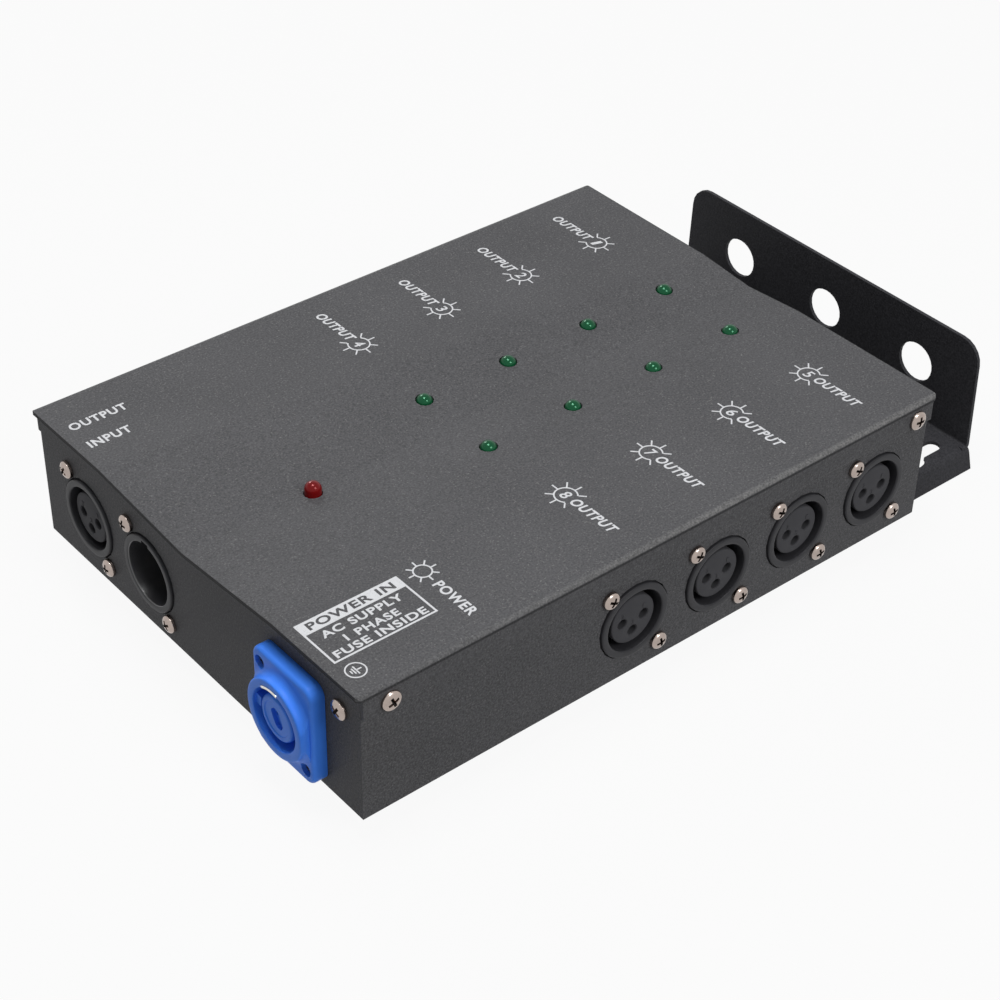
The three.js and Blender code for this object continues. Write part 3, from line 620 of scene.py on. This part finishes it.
def applied(mesh, modifiers):
    """What is left of a mesh after modifiers, each a kind with its settings."""
    carrier = new_object(mesh.name, mesh)
    for kind, settings in modifiers:
        modifier = carrier.modifiers.new(kind.lower(), kind)
        for name, value in settings.items():
            setattr(modifier, name, value)
    return taken_from(carrier)


def combined(mesh, operation, *others):
    """The mesh joined with, or cut by, each of the others."""
    carriers = [new_object(other.name, other) for other in others]
    settings = [{"operation": operation, "solver": "EXACT", "object": carrier} for carrier in carriers]
    result = applied(mesh, [("BOOLEAN", setting) for setting in settings])
    for carrier in carriers:
        bpy.data.objects.remove(carrier)
    return result


def cut(mesh, *tools):
    return combined(mesh, "DIFFERENCE", *tools)


def smoothed(mesh):
    mesh.shade_smooth()
    mesh.set_sharp_from_angle(angle=SMOOTH_ANGLE)
    return mesh


def softened(mesh, radius):
    """Rounds the hard edges and keeps the flat faces flat."""
    bevel = {"width": radius, "segments": 2, "limit_method": "ANGLE", "angle_limit": SMOOTH_ANGLE}
    return smoothed(applied(mesh, [("BEVEL", bevel)]))


def gathered(*groups):
    """One mesh from lists of meshes. The first list takes the first finish, and so on."""
    form = bmesh.new()
    for finish_number, group in enumerate(groups):
        for mesh in group:
            known = len(form.faces)
            form.from_mesh(mesh)
            form.faces.ensure_lookup_table()
            for face in form.faces[known:]:
                face.material_index = finish_number
    return mesh_from(form)


def marked(mesh, is_inside):
    """Gives the second finish to the faces whose middles lie inside."""
    for face in mesh.polygons:
        if is_inside(face.center):
            face.material_index = 1
    return mesh


def add_piece(name, mesh, place, finishes, stands_for=()):
    """Puts a piece in place on the body, as the visible form of the nodes that it stands for."""
    piece = new_object(name, mesh)
    piece.matrix_world = place
    if not mesh.materials:
        mesh.name = name
        for finish in finishes:
            mesh.materials.append(finish)
    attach(piece, BODY)
    if stands_for:
        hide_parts(*stands_for)


def stand_in(node, mesh, place, finishes):
    """Puts a fine piece in the place of a CAD node."""
    add_piece(f"{node}_fine", mesh, place, finishes, [node])


def dress(node, finish):
    """Gives a CAD node its finish."""
    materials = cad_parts[node].data.materials
    materials.clear()
    materials.append(finish)


def screw_finishes(screws):
    """The plating of the screws and the near-black painted shade in their recesses, made once."""
    known = bpy.data.materials
    if "screw_nickel" not in known:
        plated("screw_nickel", screws.nickel, 0.2)
        # Painted shade for the inside of the cross recesses
        plated("recess_steel", screws.recess, 0.5)
    return [known["screw_nickel"], known["recess_steel"]]


# Places on the case


def middle_of(node):
    low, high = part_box(node)
    return (low + high) / 2


def half_front(node):
    """Half the width and half the height of a node on the front panel."""
    low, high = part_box(node)
    return (high.y - low.y) / 2, (high.z - low.z) / 2


def panel_place(node, side):
    """A frame at the middle of a node, on its panel's face: X to the right, Y up and Z outwards."""
    tray_low, tray_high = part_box("base_tray")
    spot = middle_of(node)
    if side == "front":
        spot.x = tray_low.x
    else:
        spot.y = tray_low.y if side == "near" else tray_high.y
    return Matrix.Translation(spot) @ turn_by(TURNS[side]) @ turn_by(QUARTER, "X")


def stand_out(node, side="front"):
    """How far a node reaches outwards and inwards from its panel's face."""
    inward = panel_place(node, side).inverted()
    heights = [(inward @ corner).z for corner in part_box(node)]
    return max(heights), min(heights)


def output_side(number):
    return "near" if number in NEAR_OUTPUTS else "far"


def contact_spots(sizes):
    radius = sizes.contact_circle
    return [(radius, 0), (-radius, 0), (0, -radius)]


def screw_spots(inlet):
    """Where the two screws of any flange stand, from its middle."""
    across, up, _ = inlet.screw
    return [(-across, up), (across, -up)]


def set_screw(node, screw, tall, screws, side="front", turn=0.0):
    """Puts a fine screw in the place of a node, with the tops of both heads level."""
    place = panel_place(node, side) @ move_by(0, 0, stand_out(node, side)[0] - tall) @ turn_by(turn)
    stand_in(node, screw, place, screw_finishes(screws))


# Pieces


def make_screw(head, tall, long):
    """A pan head screw with a tapered cross recess, which takes the second finish: painted shade."""
    wall, shank = tall * 0.42, head * 0.45
    profile = [(0, -long), (shank, -long), (shank, 0), (head * 0.93, 0), (head, tall * 0.1)]
    profile += [(head * x, wall + (tall - wall) * y) for x, y in arc((0, 0), 1, 0, 90, 9)[:-1]]
    body = turned(profile + [(0, tall)], 64)
    mouth = bar(head * 0.16, head * 0.66)
    floor = bar(head * 0.08, head * 0.2)
    wings = []
    for degrees in (22, 112):
        wing = stacked([(floor, tall * 0.15), (mouth, tall * 1.1)])
        wings.append(moved(wing, turn_by(math.radians(degrees))))
    screw = smoothed(cut(body, *wings))
    # The faces inside the cross recess take the painted shade finish
    return marked(screw, lambda spot: 0 < spot.z < tall * 0.78 and spot.xy.length < head * 0.62)


def make_socket_shell(sizes, inlet, front, back, half, is_cup):
    """A ring with rounded edges, the barrel behind it and the flange inside the panel."""
    ring, soft = sizes.ring
    sunk, thick, corner = sizes.flange
    barrel, tail = sizes.barrel
    cup_bore, ledge = sizes.cup
    seat, floor, bore = -sunk, back + sizes.back_wall, sizes.bore
    behind, ahead = seat - 3 * thick, seat + MM
    profile = arc((bore + soft, front - soft), soft, 180, 90, 5)
    profile += arc((ring - soft, front - soft), soft, 90, 0, 5)
    profile += [(ring, seat), (barrel, seat - thick), (barrel, back), (tail, back), (tail, floor)]
    profile += [(cup_bore, floor), (cup_bore, front - ledge)] if is_cup else [(bore, floor)]
    plate = prism(rounded_rectangle(*half, corner), seat - thick, seat)
    holes = [rod((bore + barrel) / 2, behind, ahead, sides=96)]
    for spot in screw_spots(inlet):
        holes.append(rod(inlet.screw[2], behind, ahead, spot))
    shell = turned(profile, 96, closed=True)
    shell = combined(shell, "UNION", cut(plate, *holes))
    if is_cup:
        wide, deep = sizes.notch
        outline = rectangle(-wide / 2, wide / 2, 0, (bore + ring) / 2)
        shell = cut(shell, prism(outline, -deep, front + MM))
    # The cup's inside is polished
    rim = bore + soft / 2
    return marked(smoothed(shell), lambda spot: is_cup and spot.z > floor and spot.xy.length < rim)


def solder_tags(sizes, back, end):
    wide, thick = sizes.tag
    spots = contact_spots(sizes)
    return [prism(bar(wide / 2, thick / 2, x, y), end, back + MM) for x, y in spots]


def make_insert(sizes, front, back, end):
    """A contact insert: a disc with three bored holes, their numbers, sleeves and tags."""
    radius, foot_tall = sizes.insert
    hole, depth, sink = sizes.contact
    tall, relief, above = sizes.number
    wide, foot, soft = sizes.bore - FIT, back + foot_tall, 0.4 * MM
    profile = [(0, front)] + arc((radius - soft, front - soft), soft, 90, 0, 4)
    profile += [(radius, foot), (wide, foot), (wide, back), (0, back)]
    bottom, top = front - depth, front - sink
    mouth, inner = hole + 0.25 * MM, hole - 0.3 * MM
    bore = [(0, bottom), (hole, bottom), (hole, front - 0.3 * MM), (mouth, front + 0.05 * MM)]
    bore += [(mouth, front + MM), (0, front + MM)]
    sleeve = [(inner, bottom), (hole, bottom), (hole, top), (inner, top)]
    bores, sleeves, figures = [], [], []
    for number, (x, y) in enumerate(contact_spots(sizes), start=1):
        place = move_by(x, y)
        bores.append(moved(turned(bore, 32), place))
        sleeves.append(smoothed(moved(turned(sleeve, 32, closed=True), place)))
        figure = make_letters(str(number), tall * 0.6, tall, relief)
        figures.append(moved(figure, move_by(x, y + above, front)))
    body = smoothed(cut(turned(profile, 64), *bores))
    return gathered([body, *figures], sleeves + solder_tags(sizes, back, end))


def make_pin_block(sizes, front, back, end):
    """The input socket's block with its three round-nosed pins, deep in the cup."""
    radius, foot_tall = sizes.pin
    foot, wide = back + foot_tall, sizes.cup[0] - FIT
    disc = smoothed(turned([(0, foot), (wide, foot), (wide, back), (0, back)], 64))
    profile = [(0, foot - MM), (radius, foot - MM)]
    profile += arc((0, front - radius), radius, 0, 90, 6)[:-1] + [(0, front)]
    spots = contact_spots(sizes)
    pins = [smoothed(moved(turned(profile, 32), move_by(-x, y))) for x, y in spots]
    return gathered([disc], pins + solder_tags(sizes, back, end))


def make_inlet_body(sizes, front, back, half):
    """The moulded flange, the collar with its hollow slope, the bore and the screw recesses."""
    thick, corner, edge = sizes.flange
    collar, collar_foot = sizes.collar
    bore, bore_depth = sizes.bore
    recess, recess_depth = sizes.recess
    soft, barrel, floor = sizes.edge_round, sizes.barrel, -bore_depth
    rings = [(rounded_rectangle(*half, corner), GAP)]
    for inset, height in arc((edge, thick - edge), edge, 180, 90):
        outline = rounded_rectangle(half[0] - inset, half[1] - inset, corner - inset)
        rings.append((outline, height))
    swell, rise = collar_foot - collar, front - thick
    profile = [(0, front)] + arc((collar - soft, front - soft), soft, 90, 0, 4)
    for step in range(9):
        turn = QUARTER * step / 8
        profile.append((collar + swell * (1 - math.cos(turn)), thick + rise * 0.75 * (1 - math.sin(turn))))
    profile += [(collar_foot, GAP), (barrel, GAP), (barrel, back), (0, back)]
    keep = stacked([(rings[0][0], back - MM)] + rings[1:] + [(rings[-1][0], front + MM)])
    round_part = combined(turned(profile, 96), "INTERSECT", keep)
    body = combined(stacked(rings), "UNION", round_part)
    lip = soft / 2
    inside = [(0, floor), (bore, floor)]
    inside += [(bore + lip - x, front - lip + y) for x, y in arc((0, 0), lip, 0, 90, 4)]
    inside += [(bore + lip, front + MM), (0, front + MM)]
    cutters = [
        turned(inside, 96),
        rod(INLET_TAIL, back - MM, floor + MM, sides=48),
        make_latch(sizes, LATCH_MARGIN, front + MM, back / 2),
    ]
    for spot in screw_spots(sizes):
        cutters.append(rod(recess, thick - recess_depth, front + MM, spot, 40))
        cutters.append(rod(sizes.screw[2], -MM, front + MM, spot))
    body = cut(body, *cutters)
    lug_wide, lug_sink = sizes.lug
    core = sizes.core[0]
    overlap = (bore - core) * 0.1
    outline = rectangle(core + overlap, bore + overlap, -lug_wide / 2, lug_wide / 2)
    lug = moved(prism(outline, floor / 2, front - lug_sink), turn_by(sizes.lug_at))
    return smoothed(combined(body, "UNION", lug))


def make_latch(sizes, margin, front, back):
    """The curved latch plate along the top of the inlet's bore; margin widens it into its pocket."""
    thick, radius = sizes.latch
    spread = math.degrees(margin / radius)
    start = math.degrees(sizes.latch_from) - spread
    end = math.degrees(sizes.latch_to) + spread
    outer = arc((0, 0), radius + margin, start, end, 16)
    inner = arc((0, 0), radius - thick - margin, end, start, 16)
    return prism(outer + inner, back - margin, front)


def make_inlet_core(sizes, front, back, tags):
    """The keyed core with its raised rim, its keyway with two wells and a wide foot."""
    radius, foot_tall = sizes.core
    soft, rim, dish = sizes.core_face
    key_long, key_wide, corner, step = sizes.keyway
    web, deep = sizes.wells
    wide, foot, inner = sizes.bore[0] - FIT, back + foot_tall, radius - rim
    profile = [(0, front - dish), (inner - dish, front - dish), (inner, front)]
    profile += arc((radius - soft, front - soft), soft, 90, 0, 5)
    profile += [(radius, foot), (wide, foot), (wide, back), (0, back)]
    half, reach = key_wide / 2, key_long / 2
    well_x, well_y = half - web, reach - corner
    keys = [
        prism(rounded_rectangle(half, reach, corner), front - step, front + MM),
        prism(rectangle(-well_x, 0, web, well_y), front - deep, front),
        prism(rectangle(-web, well_x, -well_y, -web), front - deep, front),
    ]
    keys = [moved(key, turn_by(sizes.key_tilt)) for key in keys]
    core = cut(turned(profile, 72), *keys)
    return gathered([smoothed(core)], tags)


def make_lamp(sizes, leads_end):
    """A round lamp with its dome at the top, its rim and two leads. Its highest point is at zero."""
    radius, tall = sizes.dome
    rim, rim_thick = sizes.rim
    lead, pitch = sizes.lead
    rim_top = rim_thick - tall
    profile = [(0, -tall), (rim, -tall), (rim, rim_top), (radius, rim_top)]
    profile += arc((0, -radius), radius, 0, 90, 12)[:-1] + [(0, 0)]
    outlines = [bar(lead / 2, lead / 2, side * pitch / 2) for side in (-1, 1)]
    leads = [prism(outline, leads_end, rim_top) for outline in outlines]
    return gathered([smoothed(turned(profile))], leads)


def make_foot(soft, low, high, radius, radius_top):
    """A rubber foot with a dimple below."""
    profile = [(0, low)] + arc((radius - soft, low + soft), soft, -90, -8, 5)
    foot = turned(profile + [(radius_top, high), (0, high)])
    dimple = rod(radius * 0.45, low - MM, low + 1.2 * MM, sides=32)
    return smoothed(cut(foot, dimple))


def make_letters(words, long, tall, thick, slant=0.0, weight=0.0):
    """Printed letters that fill a box of the given length and height, centred on the origin."""
    text = bpy.data.curves.new("letters", "FONT")
    text.body = words
    text.shear = slant
    text.offset = weight
    text.space_character = 1.05 + 3 * weight
    text.extrude = 0.5
    mesh = taken_from(new_object("letters", text))
    spots = [vertex.co for vertex in mesh.vertices]
    low, high = [Vector([pick(spot[axis] for spot in spots) for axis in range(3)]) for pick in (min, max)]
    span = high - low
    middle = (low + high) / 2
    middle.z = low.z
    scale = Matrix.Diagonal((long / span.x, tall / span.y, thick / span.z, 1))
    return moved(mesh, scale @ Matrix.Translation(-middle))


def stroked(lines, width, thick, place):
    return [moved(stroke(line, width, thick), place) for line in lines]


def make_lamp_sign(ink, radii, rays, x, y, start=0, end=360):
    """A round lamp sign: a circle, or an arc of it, with short rays at the given angles."""
    circle, ray = radii
    lines = [arc((0, 0), circle, start, end, 48)]
    for at in rays:
        lines.append([arc((0, 0), radius, at, at, 1)[0] for radius in (circle + ink.line / 2, ray)])
    return stroked(lines, ink.line, ink.thick, move_by(x, y))


# Operators


class SPLITTER_OT_case(Operator):
    """Paint the tray, the lid and the bracket"""

    bl_idname = "splitter.case"
    bl_label = "Paint the case"

    def execute(self, context):
        case = context.scene.splitter_case
        paints = case.paint, case.paint_speck, case.grain
        dress("base_tray", powder_coat("case_coat", *paints, speck_share=0.3, contrast=0.5))
        # The lid's coat carries painted highlight and painted shade along its edges and on its ends
        dress("lid", powder_coat("lid_coat", *paints, speck_share=0.3, contrast=0.4, is_lid=True))
        paints = case.bracket, case.paint, case.grain
        dress("mounting_bracket", powder_coat("bracket_coat", *paints, speck_share=0.15, contrast=0.4))
        return {"FINISHED"}


class SPLITTER_OT_sockets(Operator):
    """Make the three-pole sockets with their inserts, pins and flange screws"""

    bl_idname = "splitter.sockets"
    bl_label = "Make the sockets"

    def execute(self, context):
        scene = context.scene
        sizes, screws, inlet = scene.splitter_socket, scene.splitter_screws, scene.splitter_inlet
        plastic = moulded("shell_plastic", sizes.plastic, roughness=0.42, gloss=0.15)
        polished = moulded("cup_plastic", sizes.plastic, roughness=0.3, gloss=1.0)
        dark = moulded("insert_plastic", sizes.insert_plastic, roughness=0.5, gloss=0.05)
        # Dull plating for sleeves, pins and tags, darkened as painted shade for the contact holes and the
        # deep pins
        contact = plated("contact_plating", (0.22, 0.2, 0.16), 0.35)
        front, back = stand_out("link_shell")
        half = half_front("link_shell")
        face, end = stand_out("link_insert")
        core_back = back + sizes.back_wall + GAP
        shell = make_socket_shell(sizes, inlet, front, back, half, False)
        cup = make_socket_shell(sizes, inlet, front, back, half, True)
        insert = make_insert(sizes, face, core_back, end)
        pins = make_pin_block(sizes, front - sizes.pin_sink, core_back, end)
        screw = make_screw(*screws.flange)
        plated_steel = screw_finishes(screws)
        sockets = [(f"output_{number}", output_side(number)) for number in OUTPUTS]
        for name, side in sockets + [("link", "front"), ("input", "front")]:
            place = panel_place(f"{name}_shell", side)
            is_input = name == "input"
            stand_in(f"{name}_shell", cup if is_input else shell, place, [plastic, polished])
            core_node = "input_pin_block" if is_input else f"{name}_insert"
            stand_in(core_node, pins if is_input else insert, place, [dark, contact])
            for number, spot in enumerate(screw_spots(inlet), start=1):
                turn = turn_by(math.radians(37 * number + 23 * len(name)))
                seat = place @ move_by(*spot) @ turn
                add_piece(f"{name}_flange_screw_{number}", screw, seat, plated_steel)
        return {"FINISHED"}


class SPLITTER_OT_inlet(Operator):
    """Make the mains inlet with its collar, core, latch plate and screws"""

    bl_idname = "splitter.inlet"
    bl_label = "Make the mains inlet"

    def execute(self, context):
        scene = context.scene
        sizes, screws = scene.splitter_inlet, scene.splitter_screws
        blue = moulded("inlet_plastic", sizes.plastic, roughness=0.4, gloss=0.15)
        nickel = plated("latch_nickel", (0.78, 0.76, 0.7))
        place = panel_place("power_inlet_body", "front")
        body = make_inlet_body(sizes, *stand_out("power_inlet_body"), half_front("power_inlet_body"))
        stand_in("power_inlet_body", body, place, [blue])
        front, end = stand_out("power_inlet_core")
        back = GAP - sizes.bore[1]
        core = make_inlet_core(sizes, front, back, solder_tags(scene.splitter_socket, back, end))
        stand_in("power_inlet_core", core, place, [blue, nickel])
        latch = softened(make_latch(sizes, 0, *stand_out("power_inlet_latch")), 0.15 * MM)
        stand_in("power_inlet_latch", latch, place, [nickel])
        screw = make_screw(*screws.inlet)
        for node in ("power_inlet_screw_1", "power_inlet_screw_2"):
            set_screw(node, screw, screws.inlet[1], screws)
        return {"FINISHED"}


class SPLITTER_OT_case_screws(Operator):
    """Make the lid screws, the earth screw and the bracket screws"""

    bl_idname = "splitter.case_screws"
    bl_label = "Make the case screws"

    def execute(self, context):
        screws = context.scene.splitter_screws
        screw = make_screw(*screws.case)
        for number, (node, side) in enumerate(CASE_SCREWS.items()):
            set_screw(node, screw, screws.case[1], screws, side, math.radians(31 * number))
        large = make_screw(*screws.bracket)
        for node in ("bracket_screw_1", "bracket_screw_2"):
            spot = middle_of(node)
            spot.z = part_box(node)[0].z + screws.bracket[1]
            place = Matrix.Translation(spot) @ turn_by(math.pi, "X")
            stand_in(node, large, place, screw_finishes(screws))
        return {"FINISHED"}


class SPLITTER_OT_lamps(Operator):
    """Make the green output lamps and the red power lamp"""

    bl_idname = "splitter.lamps"
    bl_label = "Make the lamps"

    def execute(self, context):
        sizes = context.scene.splitter_lamps
        leads = plated("lead_tin", (0.6, 0.6, 0.6))
        green = tinted_resin("green_resin", sizes.green, (0.4, 1, 0.65))
        red = tinted_resin("red_resin", sizes.red, (1, 0.35, 0.35))
        for number in OUTPUTS:
            self.add(sizes, f"output_{number}_lamp", [green, leads], "green_lamp")
        self.add(sizes, "power_lamp", [red, leads], "red_lamp")
        return {"FINISHED"}

    @staticmethod
    def add(sizes, node, finishes, slot):
        low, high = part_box(node)
        spot = middle_of(node)
        spot.z = high.z
        stand_in(node, make_lamp(sizes, low.z - high.z), Matrix.Translation(spot), finishes)


class SPLITTER_OT_print(Operator):
    """Print the lid: lamp signs, plain numbers, generic words, the supply panel and the earth sign"""

    bl_idname = "splitter.print"
    bl_label = "Print the lid"

    def execute(self, context):
        self.ink = ink = context.scene.splitter_print
        self.finishes = [ink_finish(ink.ink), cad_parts["lid"].data.materials[0]]
        for number in OUTPUTS:
            self.add_output_mark(number)
        sign = make_lamp_sign(ink, ink.power_sign, range(0, 360, 45), *POWER_SIGN_AT)
        self.add("power_print", sign + [self.word(*POWER_WORD, turn=-QUARTER)])
        self.add("line_print", [self.word(*word) for word in LINE_WORDS])
        self.add_supply_panel()
        earth = [arc((0, 0), ink.earth_circle, 0, 360, 48)] + EARTH_LINES
        self.add("earth_print", stroked(earth, ink.line * 0.9, ink.thick, move_by(*EARTH_SIGN_AT)))
        return {"FINISHED"}

    def add(self, name, white, dark=()):
        """Puts print on the lid: white ink, and letters in the case's own paint on top of it."""
        spot = middle_of("base_tray")
        spot.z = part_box("lid")[1].z
        mesh = gathered(white, dark)
        add_piece(name, mesh, Matrix.Translation(spot), self.finishes)

    def word(self, text, long, x, y, turn=0.0, slant=0.0, tall=None, layers=1, bold=1.0):
        ink = self.ink
        tall = tall or ink.word_tall
        letters = make_letters(text, long, tall, layers * ink.thick, slant, bold * ink.weight)
        return moved(letters, move_by(x, y) @ turn_by(turn))

    def add_output_mark(self, number):
        ink = self.ink
        long, start = ink.output_word
        x = middle_of(f"output_{number}_shell").x - middle_of("base_tray").x
        side = -1 if output_side(number) == "near" else 1
        y, gap, tall = side * ink.sign_row, side * 90, ink.digit_tall
        rays = [at for at in range(0, 360, 45) if at != 180 - gap]
        parts = make_lamp_sign(ink, ink.output_sign, rays, x, y, gap + 45, gap + 315)
        parts.append(self.word(str(number), tall * 0.7, x, y, -QUARTER, 0.15, tall, bold=0.5))
        y = side * (ink.sign_row + start + long / 2)
        parts.append(self.word("OUTPUT", long, x, y, -QUARTER, 0.2))
        self.add(f"output_{number}_print", parts)

    def add_supply_panel(self):
        x_low, x_high, y_low, y_high = SUPPLY_FRAME
        middle, low, high = (x_low + x_high) / 2, y_low + SUPPLY_LINE, y_high - SUPPLY_BAR
        outlines = [
            rectangle(x_low, x_high, y_low, low),
            rectangle(x_low, x_low + SUPPLY_LINE, low, high),
            rectangle(x_high - SUPPLY_LINE, x_high, low, high),
            rectangle(x_low, x_high, high, y_high),
        ]
        white = [prism(outline, 0, self.ink.thick) for outline in outlines]
        tall = self.ink.row_tall
        white += [self.word(text, long, middle, y, tall=tall) for text, long, y in SUPPLY_ROWS]
        text, long, tall = SUPPLY_TITLE
        title = self.word(text, long, middle, (high + y_high) / 2, tall=tall, layers=2)
        self.add("supply_print", white, [title])


class SPLITTER_OT_feet_and_boards(Operator):
    """Make the rubber feet and finish the boards, spacers and fuse inside"""

    bl_idname = "splitter.feet_and_boards"
    bl_label = "Finish the feet and the inside"

    def execute(self, context):
        rubber = rubber_finish()
        low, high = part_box("foot_1")
        top_radius = (high.x - low.x) / 2
        soft = context.scene.splitter_case.foot_round
        foot = make_foot(soft, low.z, high.z, top_radius - MM, top_radius)
        for number in range(1, 5):
            node = f"foot_{number}"
            place = move_by(*middle_of(node).xy)
            stand_in(node, foot, place, [rubber])
        mask = board_finish()
        brass = plated("spacer_brass", (0.62, 0.44, 0.18), 0.28)
        for board in ("main_board", "power_board"):
            dress(board, mask)
            for number in range(1, 5):
                dress(f"{board}_spacer_{number}", brass)
        dress("fuse", fuse_finish())
        return {"FINISHED"}


class SPLITTER_OT_stage(Operator):
    """Set the floor, the soft lights, the white surroundings and the camera"""

    bl_idname = "splitter.stage"
    bl_label = "Set the stage"

    def execute(self, context):
        stage = context.scene.splitter_stage
        self.add_floor(stage)
        self.light_air(context.scene, stage)
        for name, (place, size) in LIGHTS.items():
            self.add_light(f"{name}_light", place, size, getattr(stage, f"{name}_power"))
        camera = new_object("photo_camera", bpy.data.cameras.new("photo_camera"))
        camera.location = stage.camera_place
        camera.rotation_euler = stage.camera_turn
        camera.data.lens = stage.lens
        context.scene.camera = camera
        context.scene.view_settings.view_transform = "Standard"
        return {"FINISHED"}

    @staticmethod
    def whiten(work, share, plain, white, end):
        """Shows white, by a share, where a ray comes straight from the camera, a mirror or clear glass."""
        rays = work.node("LightPath", output="Is Camera Ray")
        for name in ("Is Glossy Ray", "Is Transmission Ray"):
            rays = work.math("MAXIMUM", rays, work.node("LightPath", output=name))
        work.node(end, {"Surface": work.node("MixShader", {0: rays * share, 1: plain, 2: white})})

    def add_floor(self, stage):
        mesh = turned([(0, 0), (FLOOR_RADIUS, 0)], 64)
        floor = new_object("studio_floor", mesh)
        floor.location.z = CAD_BOUNDS[0].z
        paper = Finish("studio_paper")
        matt = paper.node("BsdfDiffuse", {"Color": tuple(stage.floor_colour)})
        white = paper.node("Emission", {"Color": (1, 1, 1), "Strength": 1.0})
        self.whiten(paper, stage.floor_glow, matt, white, "OutputMaterial")
        mesh.materials.append(paper.material)

    def light_air(self, scene, stage):
        scene.world = bpy.data.worlds.new("studio_air")
        scene.world.use_nodes = True
        air = NodeWork(scene.world.node_tree)
        levels = [{"Color": (1, 1, 1), "Strength": strength} for strength in (stage.air, 1.0)]
        even, white = [air.node("Background", level) for level in levels]
        self.whiten(air, 1.0, even, white, "OutputWorld")

    @staticmethod
    def add_light(name, place, size, power):
        light = bpy.data.lights.new(name, "AREA")
        light.size = size
        light.energy = power
        lamp = new_object(name, light)
        lamp.location = place
        lamp.rotation_euler = (-Vector(place)).to_track_quat("-Z", "Y").to_euler()


OPERATORS = (
    SPLITTER_OT_case,
    SPLITTER_OT_sockets,
    SPLITTER_OT_inlet,
    SPLITTER_OT_case_screws,
    SPLITTER_OT_lamps,
    SPLITTER_OT_print,
    SPLITTER_OT_feet_and_boards,
    SPLITTER_OT_stage,
)


class SPLITTER_PT_pieces(Panel):
    bl_idname = "SPLITTER_PT_pieces"
    bl_label = "Line splitter"
    bl_space_type = "VIEW_3D"
    bl_region_type = "UI"
    bl_category = "Splitter"

    def draw(self, context):
        for operator in OPERATORS:
            self.layout.operator(operator.bl_idname)
        for name, group in GROUPS.items():
            box = self.layout.box()
            box.label(text=group.__name__)
            for field in group.__annotations__:
                box.prop(getattr(context.scene, name), field)


def register():
    for name, group in GROUPS.items():
        bpy.utils.register_class(group)
        setattr(bpy.types.Scene, name, PointerProperty(type=group))
    for operator in OPERATORS:
        bpy.utils.register_class(operator)
    bpy.utils.register_class(SPLITTER_PT_pieces)


def unregister():
    bpy.utils.unregister_class(SPLITTER_PT_pieces)
    for operator in reversed(OPERATORS):
        bpy.utils.unregister_class(operator)
    for name, group in reversed(GROUPS.items()):
        delattr(bpy.types.Scene, name)
        bpy.utils.unregister_class(group)


def main():
    register()
    bpy.ops.splitter.stage()
    bpy.ops.splitter.case()
    bpy.ops.splitter.sockets()
    bpy.ops.splitter.inlet()
    bpy.ops.splitter.case_screws()
    bpy.ops.splitter.lamps()
    bpy.ops.splitter.print()
    bpy.ops.splitter.feet_and_boards()


if __name__ == "__main__":
    main()
